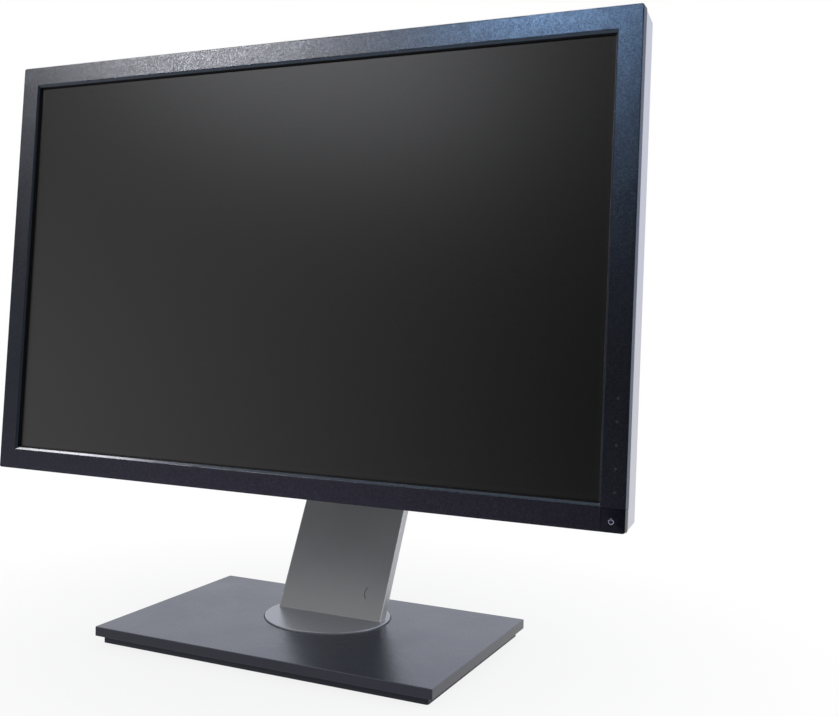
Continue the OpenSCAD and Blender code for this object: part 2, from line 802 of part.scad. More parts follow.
module shield_can() color("#b8bbc0") in_head() difference() {
  block([-can_w / 2, chassis_back, board_low - 1], [can_w / 2, can_back, can_top]);
  block([-can_w / 2 + sheet_t, chassis_back - 1, board_low - 2],
        [can_w / 2 - sheet_t, can_back - sheet_t, can_top - sheet_t]);
  at_mounts() rod(post_r + 1, 0, 0, can_back - 2, can_back + 1);
  for (x = [-can_w / 2 + hole_pitch : hole_pitch : can_w / 2 - hole_pitch])
    block([x - hole_w / 2, board_back, can_top - 2], [x + hole_w / 2, can_back - hole_w, can_top + 1]);
}

module socket_bracket() color("#9da0a6") in_head() difference() {
  block([-bay_w / 2 + 2, shelf_y + gap, -bay_z + cover_wall + gap],
        [bay_w / 2 - 2, can_back, -bay_z + cover_wall + gap + sheet_t]);
  socket_holes(gap / 2, -bay_z, 0);
}

// Socket that opens downwards: shell, hollow and a tongue inside
module socket(s, rim, tongue_t) {
  x = s[0];
  w = s[1] / 2;
  d = s[2];
  difference() {
    block([x - w, board_back, socket_low], [x + w, board_back + d, socket_low + socket_tall]);
    block([x - w + rim, board_back + rim, socket_low - 1],
          [x + w - rim, board_back + d - rim, socket_low + socket_deep]);
  }
  block([x - w + 2 * rim, board_back + (d - tongue_t) / 2, socket_low + 1],
        [x + w - 2 * rim, board_back + (d + tongue_t) / 2, socket_low + socket_deep + eps]);
}

module mains_inlet() color("#1c1d20") in_head() translate([inlet_x, board_back, socket_low]) {
  difference() {
    block([-inlet_w / 2, 0, 0], [inlet_w / 2, inlet_d, socket_tall]);
    block([-inlet_w / 2 + inlet_wall, inlet_wall, -1],
          [inlet_w / 2 - inlet_wall, inlet_d - inlet_wall, inlet_deep]);
  }
  for (i = [-1:1]) translate([i * inlet_w / 4, inlet_d / 2 + (i == 0 ? 3 : -2), 0])
    block([-1, -2, inlet_pin], [1, 2, inlet_deep + eps]);
}

module video_sockets() color("#c9ccd2") in_head() for (s = video_list) socket(s, 0.8, s[2] > 10 ? 3 : 1.6);

module usb_sockets() color("#bfc3c9") in_head() for (s = data_list) socket(s, 0.6, s[2] > 10 ? 4 : 2);

function side_port_z(i) = 5 + i * (side_port_h + 2);

module side_sockets() color("#2a2b30") in_head() translate([-side_socket_x, side_socket_y, side_socket_low]) {
  middle = side_socket_d / 2;
  difference() {
    block([0, 0, 0], [side_socket_x - can_w / 2 - gap, side_socket_d, side_socket_high - side_socket_low]);
    for (i = [0, 1]) translate([0, middle, side_port_z(i)])
      block([-1, -side_port_w / 2, 0], [socket_deep, side_port_w / 2, side_port_h]);
    translate([0, middle, side_port_z(2) + 3])
      block([-1, -card_slot_w / 2, 0], [socket_deep, card_slot_w / 2, side_port_h]);
  }
  for (i = [0, 1]) translate([0, middle, side_port_z(i)])
    block([1, -1, 1], [socket_deep + eps, 1, side_port_h - 1]);
}

// ---- Head: mount, release and pivot ----

module mount_frame() color("#8f9299") in_head() difference() {
  union() {
    slab(mount_frame_w, mount_frame_w, 4, mount_y - mount_t, mount_y);
    at_mounts() rod(post_r, 0, 0, chassis_back, mount_y - 1);
  }
  at_mounts() rod(mount_hole_r, 0, 0, mount_y - mount_hole_d, mount_y + 1);
  middle_block(latch_w + 2 * gap, [mount_y - 3, -mount_frame_w / 2 - 1], [mount_y + 1, latch_top + gap]);
}

module release_button() color("#4a4c52") in_head() along_x(-button_w / 2, button_w / 2)
  polygon([
    [button_back, button_top], [button_back, button_low],
    [button_front + ramp_len, button_low], [button_front, button_low + ramp_len], [button_front, button_top]
  ]);

module release_latch() color("#a0a3a9") in_head() along_x(-latch_w / 2, latch_w / 2)
  polygon([
    [latch_front, latch_top], [latch_tip, latch_top], [latch_tip, latch_top + latch_t],
    [latch_tip + latch_tip_t, latch_top + latch_t], [latch_tip + latch_tip_t, latch_nose],
    [latch_front + latch_t, latch_nose], [latch_front + latch_t, latch_ramp - latch_front - latch_t],
    [latch_ramp - latch_low, latch_low], [latch_front, latch_low]
  ]);

module mount_plate() color("#77797f") in_head() difference() {
  slab(mount_plate_w, mount_plate_w, 4, plate_y, plate_back);
  at_mounts() rod(mount_hole_r + 0.3, 0, 0, plate_y - 1, plate_back + 1);
}

module pivot_disc() color("#5a5c62") in_head() difference() {
  rod(pivot_r, 0, 0, plate_back, washer_y);
  rod(rivet_r + snug, 0, 0, plate_back - 1, washer_y + 1);
}

module pivot_washer() color("#d0d2d6") in_head() difference() {
  rod(pivot_r - 2, 0, 0, washer_y, bracket_y);
  rod(rivet_r + snug, 0, 0, washer_y - 1, bracket_y + 1);
}

module pivot_rivet() color("#b4b7bd") in_head() union() {
  rod(rivet_r, 0, 0, plate_back, bracket_y + bracket_t + eps);
  rod(rivet_head_r, 0, 0, bracket_y + bracket_t, bracket_y + bracket_t + rivet_head_t);
}

module tilt_bracket() color("#2d2f34") in_head() difference() {
  union() {
    slab(2 * (ear_x + ear_t), 2 * pivot_r, 3, bracket_y, bracket_y + bracket_t);
    for (s = [-1, 1]) translate([s * (ear_x + ear_t / 2) - ear_t / 2, 0, 0]) {
      block([0, bracket_y, -ear_r - ear_foot], [ear_t, bracket_y + bracket_t + ear_t, ear_r + ear_foot]);
      block([0, bracket_y, -ear_r], [ear_t, hinge_back, ear_r]);
      bar(ear_r, hinge_back, 0, 0, ear_t);
    }
  }
  rod(rivet_r + snug, 0, 0, bracket_y - 1, bracket_y + bracket_t + 1);
  bar(pin_r + snug, hinge_back, 0, -ear_x - ear_t - 1, ear_x + ear_t + 1);
}

module tilt_pin() color("#c4c7cc") in_head() translate([0, hinge_back, 0]) union() {
  bar(pin_r, 0, 0, -pin_x, pin_x);
  for (s = [-1, 1]) translate([s * pin_x, 0, 0]) bar(pin_head_r, 0, 0, -pin_head_t / 2, pin_head_t / 2);
}

module tilt_springs() color("#55585e") in_head() translate([0, hinge_back, 0]) for (s = [-1, 1])
  for (i = [0:spring_turns - 1]) translate([s * (spring_x + spring_wire + i * (2 * spring_wire - 0.1)), 0, 0])
    rotate([0, 90, 0]) rotate_extrude()
      translate([pin_r + gap + spring_wire, 0]) circle(spring_wire, $fn = 16);

// ---- Height slide ----

module friction_washers() color("#b9924f") translate([0, hinge_y, hinge_z]) for (s = [-1, 1])
  translate([s * (barrel_x + washer_t / 2), 0, 0]) difference() {
    bar(ear_r - 1, 0, 0, -washer_t / 2, washer_t / 2);
    bar(pin_r + run, 0, 0, -washer_t, washer_t);
  }

module tilt_arm() color("#3a3c42") difference() {
  union() {
    bar(ear_r - 0.5, hinge_y, hinge_z, -barrel_x, barrel_x);
    middle_block(arm_w, [hinge_y, hinge_z - arm_t / 2], [flange_y + 1, hinge_z + arm_t / 2]);
    middle_block(arm_w, [flange_y, hinge_z - arm_t / 2 - 1], [carriage_y0, carriage_top - 3]);
  }
  bar(pin_r + run, hinge_y, hinge_z, -barrel_x - 1, barrel_x + 1);
}

module carriage() color("#6e7178") difference() {
  middle_block(2 * carriage_x, [carriage_y0, carriage_low], [carriage_y1, carriage_top]);
  middle_block(2 * (drum_x + 1), [carriage_y0 - 1, drum_z - coil_r - spring_in],
               [carriage_y1 + 1, drum_z + coil_r + spring_in]);
  bar(axle_r + snug, drum_y, drum_z, -carriage_x + 1, carriage_x - 1);
}

module glides() color("#d9d9d2") for (s = [0, 1], z = [carriage_low + 2, carriage_top - glide_h - 2])
  mirror([s, 0, 0]) difference() {
    block([carriage_x, rail_y0 - glide_out, z], [spine_x - gap, rail_y0 + rail_w + glide_out, z + glide_h]);
    block([rail_x - gap, rail_y0 - gap, z - 1], [spine_x + 1, rail_y0 + rail_w + gap, z + glide_h + 1]);
  }

module spring_drum() color("#e6e6df") translate([0, drum_y, drum_z]) union() {
  bar(spool_r, 0, 0, -drum_x, drum_x);
  for (s = [0, 1]) mirror([s, 0, 0]) bar(coil_r, 0, 0, drum_x - drum_end_t, drum_x);
  bar(axle_r, 0, 0, -carriage_x + 2, carriage_x - 2);
}

module lift_spring() color("#8e9299") translate([0, drum_y, drum_z]) difference() {
  bar(coil_r, 0, 0, -drum_x + spring_in, drum_x - spring_in);
  bar(spool_r + snug, 0, 0, -drum_x, drum_x);
}

module spring_band() color("#9aa0a8")
  middle_block(band_w, [band_y1 - band_t, drum_z], [band_y1, rail_top + 1]);

module spring_anchor() color("#5c5f66") difference() {
  middle_block(band_w + 7, [band_y1 - band_t - anchor_d, rail_top - 2], [riser_y + web_d, rail_top + 4]);
  middle_block(band_w + gap, [band_y1 - band_t - snug, rail_top - 3], [band_y1 + snug, rail_top + 1 + snug]);
}

module rails() color("#c2c5ca") for (s = [0, 1]) mirror([s, 0, 0])
  block([rail_x, rail_y0, rail_low], [spine_x, rail_y0 + rail_w, rail_top]);

// ---- Neck ----

// Point of the neck's path at offset d, on the bend at angle a
function bend_point(d, a) = [bend_y + (bend_r + d) * cos(a), bend_z + (bend_r + d) * sin(a)];

// The path at offset d, from height z0 up to z1
function neck_edge(d, z0, z1) = let (p = bend_point(d, -neck_lean)) concat(
  [[p[0] - (p[1] - z0) * tan(neck_lean), z0]],
  [for (i = [0:bend_steps]) bend_point(d, -neck_lean * (1 - i / bend_steps))],
  [[riser_y + d, z1]]
);

function reversed(list) = [for (i = [len(list) - 1 : -1 : 0]) list[i]];

// Solid that follows the neck between two offsets
module neck_slab(d0, d1, z0, z1, w) along_x(-w / 2, w / 2)
  polygon(concat(neck_edge(d0, z0, z1), reversed(neck_edge(d1, z0, z1))));

module cable_space(g)
  middle_block(cable_w + 2 * g, [riser_y - neck_d, cable_z - cable_h / 2 - g],
               [riser_y + 2 * neck_d, cable_z + cable_h / 2 + g]);

module neck_front_cover() color("#8e919c") difference() {
  neck_slab(0, front_cover_d, disc_top, riser_top, neck_w);
  neck_slab(neck_wall, front_cover_d + 1, disc_top - 5, riser_top - neck_wall, neck_w - 2 * neck_wall);
  middle_block(slot_w, [riser_y - 5, slot_low], [riser_y + neck_wall + 1, riser_top - neck_wall - 3]);
  cable_space(grommet_wall + gap);
}

module neck_rear_cover() color("#1b1c20") difference() {
  neck_slab(front_cover_d, front_cover_d + rear_cover_d, disc_top, rear_top, rear_w);
  neck_slab(front_cover_d - 1, front_cover_d + rear_cover_d - neck_wall, disc_top - 5, rear_top - neck_wall,
            rear_w - 2 * neck_wall);
  cable_space(grommet_wall + gap);
  rod(lock_r + gap, 0, lock_z, riser_y + lock_hole_y0, riser_y + lock_hole_y1);
}

module neck_screw_spots()
  for (s = [-1, 1], y = [spine_foot_y0 + neck_screw_in, spine_foot_y1 - neck_screw_in])
    translate([s * neck_screw_x, y, 0]) children();

module neck_spine() color("#84878d") difference() {
  union() {
    difference() {
      neck_slab(spine_d0, spine_d1, disc_z, rear_top - neck_wall - gap, spine_w);
      neck_slab(spine_d0 - 1, web_d, disc_z - 5, riser_top, 2 * spine_x);
    }
    middle_block(spine_w, [spine_foot_y0, disc_z], [spine_foot_y1, disc_z + spine_foot_t]);
  }
  cable_space(grommet_wall + gap);
  rod(lock_r + gap, 0, lock_z, riser_y + lock_hole_y0, riser_y + lock_hole_y1);
  neck_screw_spots() translate([0, 0, disc_z - 1]) cylinder(r = neck_screw_r + snug, h = spine_foot_t + 3);
}

module cable_grommet() color("#26272b") difference() {
  middle_block(cable_w + 2 * grommet_wall, [riser_y - grommet_out, cable_z - cable_h / 2 - grommet_wall],
               [riser_y + neck_d + grommet_out, cable_z + cable_h / 2 + grommet_wall]);
  cable_space(0);
}

module lock_button() color("#3f4147")
  rod(lock_r, 0, lock_z, riser_y + web_d - lock_in, riser_y + neck_d + lock_out);

module neck_screws() color("#9b9ea4") neck_screw_spots() translate([0, 0, bush_top + 0.2])
  cylinder(r = neck_screw_r, h = disc_z + spine_foot_t - bush_top - 0.2);

// ---- Turntable ----

module at_disc() translate([0, disc_y, 0]) children();

module swivel_disc() color("#a9adb6") difference() {
  at_disc() rotate_extrude($fn = 96) polygon([
    [0, disc_z], [disc_r, disc_z], [disc_r, disc_top - disc_edge],
    [disc_r - disc_edge, disc_top], [0, disc_top]
  ]);
  middle_block(spine_w + 2 * gap,
               [neck_foot_y + spine_d0 / cos(neck_lean) - disc_t * tan(neck_lean) - gap, disc_z - 1],
               [max(spine_foot_y1, neck_foot_y + spine_d1 / cos(neck_lean)) + gap, disc_top + 1]);
}

module swivel_plate() color("#8b8e94") difference() {
  union() {
    at_disc() translate([0, 0, bush_top + run])
      cylinder(r = disc_r - plate_in, h = disc_z - bush_top - run, $fn = 96);
    at_disc() translate([0, 0, hub_low]) cylinder(r = hub_r, h = bush_top + run - hub_low + eps);
  }
  at_disc() translate([0, 0, hub_low - 1]) cylinder(r = thumb_pin_r + snug, h = disc_z - hub_low - 0.5);
  neck_screw_spots() translate([0, 0, bush_top - 1]) cylinder(r = neck_screw_r + snug, h = disc_t + 4);
}

module swivel_bush() color("#e2e0d6") at_disc() difference() {
  union() {
    translate([0, 0, tray_h1]) cylinder(r = hub_r + bush_wall, h = plate_t + eps);
    translate([0, 0, steel_top]) cylinder(r = bush_flange_r, h = bush_t);
  }
  translate([0, 0, tray_h1 - 1]) cylinder(r = hub_r + run, h = plate_t + bush_t + 2);
}

module retaining_nut() color("#9a9da3") at_disc() difference() {
  translate([0, 0, tray_h1 - nut_t]) cylinder(r = nut_r, h = nut_t - 0.1, $fn = 6);
  translate([0, 0, tray_h1 - nut_t - 1]) cylinder(r = hub_r + snug, h = nut_t + 2);
}

module base_thumbscrew() color("#3c3e43") at_disc() union() {
  translate([0, 0, tray_h0 + 0.3]) cylinder(r = thumb_r, h = hub_low - tray_h0 - 0.3);
  translate([0, 0, hub_low - eps]) cylinder(r = thumb_pin_r, h = disc_z - hub_low - 2);
}

// ---- Base ----

// Flat plate with round corners from z0 to z1
module plate(w, d, r, z0, z1) translate([0, 0, z0]) linear_extrude(z1 - z0) rounded(w, d, r);

module base_cover() color("#6c6e78") difference() {
  union() {
    plate(base_w, base_d, base_r, tray_h1 - 0.1, base_h - cover_edge);
    hull($fn = hull_sides) {
      plate(base_w, base_d, base_r, base_h - cover_edge - eps, base_h - cover_edge, $fn = hull_sides);
      plate(base_w - 2 * cover_edge, base_d - 2 * cover_edge, base_r - cover_edge,
            base_h - eps, base_h, $fn = hull_sides);
    }
  }
  plate(base_w - 2 * cover_in, base_d - 2 * cover_in, base_r, tray_h1 - 1, steel_top + 0.2);
  at_disc() cylinder(r = disc_r + disc_gap, h = base_h + 1, $fn = 96);
}

module base_plate() color("#74777d") difference() {
  plate(base_w - 2 * tray_in, base_d - 2 * tray_in, base_r, tray_h1, steel_top);
  at_disc() cylinder(r = hub_r + bush_wall + gap / 2, h = base_h);
}

// Places of the feet: radius, place along X and along Y
foot_list = concat([[middle_foot_r, 0, 0]], [for (x = [-1, 1], y = [-1, 1])
  [foot_r, x * (base_w / 2 - tray_in - foot_in), y * (base_d / 2 - tray_in - foot_in)]]);

module base_tray() color("#1d1e22") difference() {
  plate(base_w - 2 * tray_in, base_d - 2 * tray_in, tray_r, tray_h0, tray_h1);
  difference() {
    plate(base_w - 2 * (tray_in + tray_wall), base_d - 2 * (tray_in + tray_wall), tray_r / 2,
          tray_h0 + tray_floor, tray_h1 + 1);
    for (x = tray_ribs) block([x - rib_w / 2, -base_d, 0], [x + rib_w / 2, base_d, tray_h1 + 2]);
  }
  at_disc() cylinder(r = thumb_r + 1.5, h = base_h);
  for (f = foot_list) translate([f[1], f[2], 0]) cylinder(r = f[0] + gap / 2, h = tray_h0 + foot_sink);
}

module rubber_feet() color("#101113") for (f = foot_list)
  translate([f[1], f[2], 0]) cylinder(r = f[0], h = foot_h + foot_sink);

// ---- Nodes ----

front_bezel();
touch_marks();
touch_board();
power_key();
power_ring();
side_band();
rear_cover();
panel_frame();
lcd_glass();
optical_films();
light_guide();
backlight_tubes();
tube_holders();
reflector_tray();
panel_board();
chassis_plate();
main_board();
power_board();
power_parts();
shield_can();
socket_bracket();
mains_inlet();
video_sockets();
usb_sockets();
side_sockets();
mount_frame();
cover_screws();
release_button();
release_latch();
mount_plate();
pivot_disc();
pivot_washer();
pivot_rivet();
tilt_bracket();
tilt_pin();
tilt_springs();
friction_washers();
tilt_arm();
carriage();
glides();
spring_drum();
lift_spring();
spring_band();
spring_anchor();
rails();
neck_spine();
neck_front_cover();
neck_rear_cover();
cable_grommet();
lock_button();
neck_screws();
swivel_disc();
swivel_plate();
swivel_bush();
retaining_nut();
base_cover();
base_plate();
base_tray();
base_thumbscrew();
rubber_feet();
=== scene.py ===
import json
import math

import bmesh
import bpy
from mathutils import Matrix, Vector


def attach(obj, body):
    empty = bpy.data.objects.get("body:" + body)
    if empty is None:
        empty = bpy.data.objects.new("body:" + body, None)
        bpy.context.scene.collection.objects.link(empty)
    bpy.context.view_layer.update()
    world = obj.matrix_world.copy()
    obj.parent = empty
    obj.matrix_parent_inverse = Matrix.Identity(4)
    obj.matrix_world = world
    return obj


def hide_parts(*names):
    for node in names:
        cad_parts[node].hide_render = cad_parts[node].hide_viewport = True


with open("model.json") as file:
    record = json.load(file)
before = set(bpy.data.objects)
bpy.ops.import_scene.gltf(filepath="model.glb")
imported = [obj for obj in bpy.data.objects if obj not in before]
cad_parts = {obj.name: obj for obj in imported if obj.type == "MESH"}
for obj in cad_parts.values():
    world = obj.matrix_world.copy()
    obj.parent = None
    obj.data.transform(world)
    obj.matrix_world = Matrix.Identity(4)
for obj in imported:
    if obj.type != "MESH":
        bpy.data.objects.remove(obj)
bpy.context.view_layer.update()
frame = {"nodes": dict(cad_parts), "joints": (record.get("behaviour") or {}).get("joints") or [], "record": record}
print("frame loaded:", len(frame["nodes"]), "nodes")

mm = 0.001
joints = {j["name"]: j for j in frame["joints"]}
mounts = {m["name"]: m for m in frame["record"]["mounts"]}

# The head's own axes: x across, y from the face to the back, z up, from the middle of the face
head = dict(halfW=279.85, halfH=180.5, faceToHinge=106, cornerR=1.8)
hingePoint = Vector(joints["tilt"]["pos_m"])
backWay = Vector(mounts["wall_mount"]["axis"]).normalized()
upWay = Vector((1, 0, 0)).cross(backWay)
headPlace = Matrix.Translation(hingePoint - backWay * head["faceToHinge"] * mm) @ Matrix((
    (mm, 0, 0, 0),
    (0, backWay.y * mm, upWay.y * mm, 0),
    (0, backWay.z * mm, upWay.z * mm, 0),
    (0, 0, 0, 1)))
standPlace = Matrix.Scale(mm, 4)
# Rings drawn in x and z lie flat, with their depth turned into height
flatPlace = Matrix(((mm, 0, 0, 0), (0, 0, mm, 0), (0, mm, 0, 0), (0, 0, 0, 1)))
plain = Matrix.Identity(4)


def moved(place, x, y, z):
    return place @ Matrix.Translation((x, y, z))


# A place whose z axis runs to the back
def toBack(place, x, y, z):
    return moved(place, x, y, z) @ Matrix.Rotation(math.radians(-90), 4, "X")


# Links an input where it is given a socket, and sets it where it is given a value
def fill(tree, node, values):
    for socket, value in values.items():
        if isinstance(value, bpy.types.NodeSocket):
            tree.links.new(value, node.inputs[socket])
        else:
            node.inputs[socket].default_value = value


def added(tree, kind, values=None, **settings):
    node = tree.nodes.new(kind)
    for name, value in settings.items():
        setattr(node, name, value)
    fill(tree, node, values or {})
    return node


def newFinish(name):
    finish = bpy.data.materials.new(name)
    finish.use_nodes = True
    tree = finish.node_tree
    tree.nodes.clear()
    shader = added(tree, "ShaderNodeBsdfPrincipled")
    added(tree, "ShaderNodeOutputMaterial", {"Surface": shader.outputs["BSDF"]})
    return finish, tree, shader


def where(tree, size=(1, 1, 1), move=(0, 0, 0)):
    values = {"Location": move, "Scale": size, "Vector": added(tree, "ShaderNodeTexCoord").outputs["Object"]}
    return added(tree, "ShaderNodeMapping", values).outputs["Vector"]


def axesOf(tree, spot):
    return added(tree, "ShaderNodeSeparateXYZ", {0: spot}).outputs


def noise(tree, spot, scale, detail=3.0, rough=0.5):
    values = {"Vector": spot, "Scale": scale, "Detail": detail, "Roughness": rough}
    return added(tree, "ShaderNodeTexNoise", values).outputs["Fac"]


def vectorSum(tree, kind, values):
    return added(tree, "ShaderNodeVectorMath", values, operation=kind).outputs["Vector"]


# Tilts the surface a little, another way in each tiny cell, as sparkling grain does
def flakes(tree, spot, size, tilt):
    cells = added(tree, "ShaderNodeTexVoronoi", {"Vector": spot, "Scale": 1 / (size * mm)}).outputs["Color"]
    lean = vectorSum(tree, "SUBTRACT", {0: cells, 1: (0.5, 0.5, 0.5)})
    lean = vectorSum(tree, "SCALE", {0: lean, "Scale": tilt})
    lean = vectorSum(tree, "ADD", {0: lean, 1: added(tree, "ShaderNodeNewGeometry").outputs["Normal"]})
    chance = added(tree, "ShaderNodeSeparateColor", {0: cells}).outputs["Blue"]
    return vectorSum(tree, "NORMALIZE", {0: lean}), chance


def ranged(tree, value, low, high, toLow=0, toHigh=1):
    values = {"Value": value, "From Min": low, "From Max": high, "To Min": toLow, "To Max": toHigh}
    return added(tree, "ShaderNodeMapRange", values, clamp=True).outputs["Result"]


def sums(tree, kind, a, b=0):
    return added(tree, "ShaderNodeMath", {0: a, 1: b}, operation=kind).outputs["Value"]


def times(tree, a, b):
    return sums(tree, "MULTIPLY", a, b)


def blended(tree, factor, a, b):
    node = added(tree, "ShaderNodeMix", {"Factor": factor}, data_type="RGBA")
    for socket, value in zip([s for s in node.inputs if s.type == "RGBA"], (a, b)):
        if isinstance(value, tuple):
            socket.default_value = (*value, 1)
        else:
            tree.links.new(value, socket)
    return [s for s in node.outputs if s.type == "RGBA"][0]


def relief(tree, height, depth, under=None):
    values = {"Strength": 1, "Distance": depth * mm, "Height": height}
    if under is not None:
        values["Normal"] = under
    return added(tree, "ShaderNodeBump", values).outputs["Normal"]


def worn(tree):
    return added(tree, "ShaderNodeAttribute", attribute_name="edgeWear").outputs["Fac"]


def scaled(color, factor):
    return tuple(min(1.0, c * factor) for c in color)


# This surface, and each after it, gives the values of its shader's inputs.
# Moulded or lacquered plastic: pebble grain, soft cloudiness, rubbed edges
def plastic(tree, spot, color, rough, grain=0.6, depth=0.02, gloss=0.5, cloud=0.12, wear=0.35, metal=0.0,
            tint=(1, 1, 1), spread=0.04, flake=None, ior=1.5):
    pebble = noise(tree, spot, 1 / (grain * mm), 2.0, 0.55)
    broad = noise(tree, spot, 18, 4.0, 0.6)
    rubbed = times(tree, worn(tree), ranged(tree, noise(tree, spot, 90, 4.0, 0.65), 0.35, 0.75, 0.15, 1.0))
    rubColor = tuple(c + (0.5 - c) * 0.16 for c in color)
    base = blended(tree, ranged(tree, broad, 0.3, 0.7), scaled(color, 1 - cloud), scaled(color, 1 + cloud))
    base = blended(tree, ranged(tree, pebble, 0.45, 0.7, 0, 0.5), base, scaled(color, 1 + 2 * cloud))
    base = blended(tree, times(tree, rubbed, wear), base, rubColor)
    roughness = sums(tree, "ADD", ranged(tree, broad, 0.25, 0.75, rough - spread, rough + spread),
                     ranged(tree, pebble, 0.4, 0.65, -0.02, 0.03))
    roughness = sums(tree, "SUBTRACT", roughness, times(tree, rubbed, 0.1))
    under = None
    if flake:
        under, chance = flakes(tree, spot, flake["size"], flake["tilt"])
        metal = ranged(tree, chance, *flake["share"])
        base = blended(tree, metal, base, flake["color"])
    return {"Base Color": base, "Roughness": roughness, "Normal": relief(tree, pebble, depth, under),
            "Metallic": metal, "IOR": ior, "Specular IOR Level": gloss, "Specular Tint": (*tint, 1)}


# Rolled, plated or brushed metal: fine streaks one way, faint stains
def bareMetal(tree, spot, color, rough, streak=(1, 1, 1), stain=0.1, fine=0.25, depth=0.004):
    lines = noise(tree, where(tree, size=streak), 1 / (fine * mm), 3.0, 0.6)
    patches = noise(tree, spot, 35, 4.0, 0.6)
    base = blended(tree, ranged(tree, patches, 0.35, 0.75), color, scaled(color, 1 - 2 * stain))
    base = blended(tree, times(tree, worn(tree), 0.5), base, scaled(color, 1.35))
    base = blended(tree, ranged(tree, lines, 0.3, 0.7, 0, 0.35), base, scaled(color, 1 + stain))
    roughness = sums(tree, "ADD", ranged(tree, lines, 0.3, 0.7, rough - 0.05, rough + 0.06),
                     ranged(tree, patches, 0.4, 0.8, 0, 0.08))
    return {"Base Color": base, "Roughness": roughness, "Normal": relief(tree, lines, depth), "Metallic": 1}


# Powder coat: orange peel over metal, bright at rubbed edges
def powder(tree, spot, color, rough, peel=0.9, depth=0.012, bare=(0.35, 0.35, 0.36)):
    dust = noise(tree, spot, 60, 5.0, 0.7)
    rubbed = times(tree, worn(tree), ranged(tree, dust, 0.5, 0.8, 0, 0.6))
    base = blended(tree, ranged(tree, dust, 0.4, 0.8, 0, 0.5), color, scaled(color, 1.5))
    return {"Base Color": blended(tree, rubbed, base, bare),
            "Roughness": ranged(tree, dust, 0.3, 0.8, rough - 0.06, rough + 0.1),
            "Normal": relief(tree, noise(tree, spot, 1 / (peel * mm), 2.0, 0.4), depth)}


# Matt rubber with a dusty bloom
def rubber(tree, spot, color, rough=0.75, lift=0.03):
    bloom = noise(tree, spot, 120, 5.0, 0.65)
    base = blended(tree, ranged(tree, bloom, 0.4, 0.8), color, tuple(c + lift for c in color))
    return {"Base Color": base, "Roughness": ranged(tree, bloom, 0.3, 0.8, rough - 0.1, rough + 0.1),
            "Normal": relief(tree, noise(tree, spot, 2500, 2.0), 0.01), "Specular IOR Level": 0.3}


# Circuit board: lacquer over tracks and pads
def circuit(tree, spot, color, track):
    axes = axesOf(tree, spot)
    flat = added(tree, "ShaderNodeCombineXYZ", {"X": axes["X"], "Y": axes["Z"]}).outputs[0]
    lanes = added(tree, "ShaderNodeTexBrick", {"Vector": flat, "Scale": 160.0, "Mortar Size": 0.03,
                                               "Brick Width": 1.7, "Row Height": 0.4}).outputs["Fac"]
    patches = noise(tree, spot, 55, 3.0)
    lines = times(tree, lanes, ranged(tree, patches, 0.45, 0.55))
    base = blended(tree, ranged(tree, patches, 0.3, 0.7), color, scaled(color, 1.3))
    return {"Base Color": blended(tree, lines, base, track), "Normal": relief(tree, lines, 0.03),
            "Roughness": ranged(tree, patches, 0.3, 0.7, 0.28, 0.4)}


# Anti-glare film over the dark panel, with a slightly lighter unlit border outside the picture
def screenFilm(tree, spot, color, rough, borderColor, middleZ, pictureW, pictureH, fade, spread, fine, depth,
               gloss):
    axes = axesOf(tree, spot)
    middle = headPlace @ Vector((0, 0, middleZ))
    across = sums(tree, "SUBTRACT", sums(tree, "ABSOLUTE", axes["X"]), pictureW / 2 * mm)
    upHigh = sums(tree, "ABSOLUTE", sums(tree, "SUBTRACT", axes["Z"], middle.z))
    upHigh = sums(tree, "SUBTRACT", upHigh, pictureH / 2 * mm * upWay.z)
    border = ranged(tree, sums(tree, "MAXIMUM", across, upHigh), -fade * mm, fade * mm)
    base = blended(tree, noise(tree, spot, 5, 3.0), scaled(color, 0.92), scaled(color, 1.08))
    sparkle = noise(tree, spot, 1 / (fine * mm), 1.0, 0.5)
    return {"Base Color": blended(tree, border, base, borderColor), "Normal": relief(tree, sparkle, depth),
            "Roughness": ranged(tree, sparkle, 0.3, 0.7, rough - spread, rough + spread),
            "Specular IOR Level": gloss}


# Clear or frosted glass and acrylic
def clear(tree, spot, color, rough, through):
    haze = noise(tree, spot, 40, 4.0)
    return {"Base Color": blended(tree, haze, color, scaled(color, 0.94)), "Transmission Weight": through,
            "Roughness": ranged(tree, haze, 0.3, 0.7, rough, rough + 0.08), "IOR": 1.49}


# Satin lacquer with one small crescent rub in it
def lacquer(tree, spot, color, rough, rub, **look):
    values, r = plastic(tree, spot, color, rough, **look), rub["r"] * mm
    axes = axesOf(tree, where(tree, move=(-rub["x"] * mm, 0, -rub["z"] * mm)))
    stretch = times(tree, axes["Z"], rub["squeeze"])
    reach = sums(tree, "ADD", sums(tree, "POWER", axes["X"], 2), sums(tree, "POWER", stretch, 2))
    off = sums(tree, "ABSOLUTE", sums(tree, "SUBTRACT", sums(tree, "SQRT", reach), r))
    onLeft = ranged(tree, axes["X"], -rub["full"] * r, -rub["none"] * r, 1, 0)
    mark = times(tree, ranged(tree, off, rub["core"] * mm, rub["w"] * mm, 1, 0), onLeft)
    mark = times(tree, mark, ranged(tree, axes["Y"], *[y * mm for y in rub["frontY"]], 1, 0))
    values["Base Color"] = blended(tree, mark, values["Base Color"], rub["color"])
    values["Normal"] = relief(tree, times(tree, mark, -1), rub["depth"], values["Normal"])
    return values


def finish(name, surface, *given, **look):
    made, tree, shader = newFinish(name)
    fill(tree, shader, surface(tree, where(tree), *given, **look))
    return made


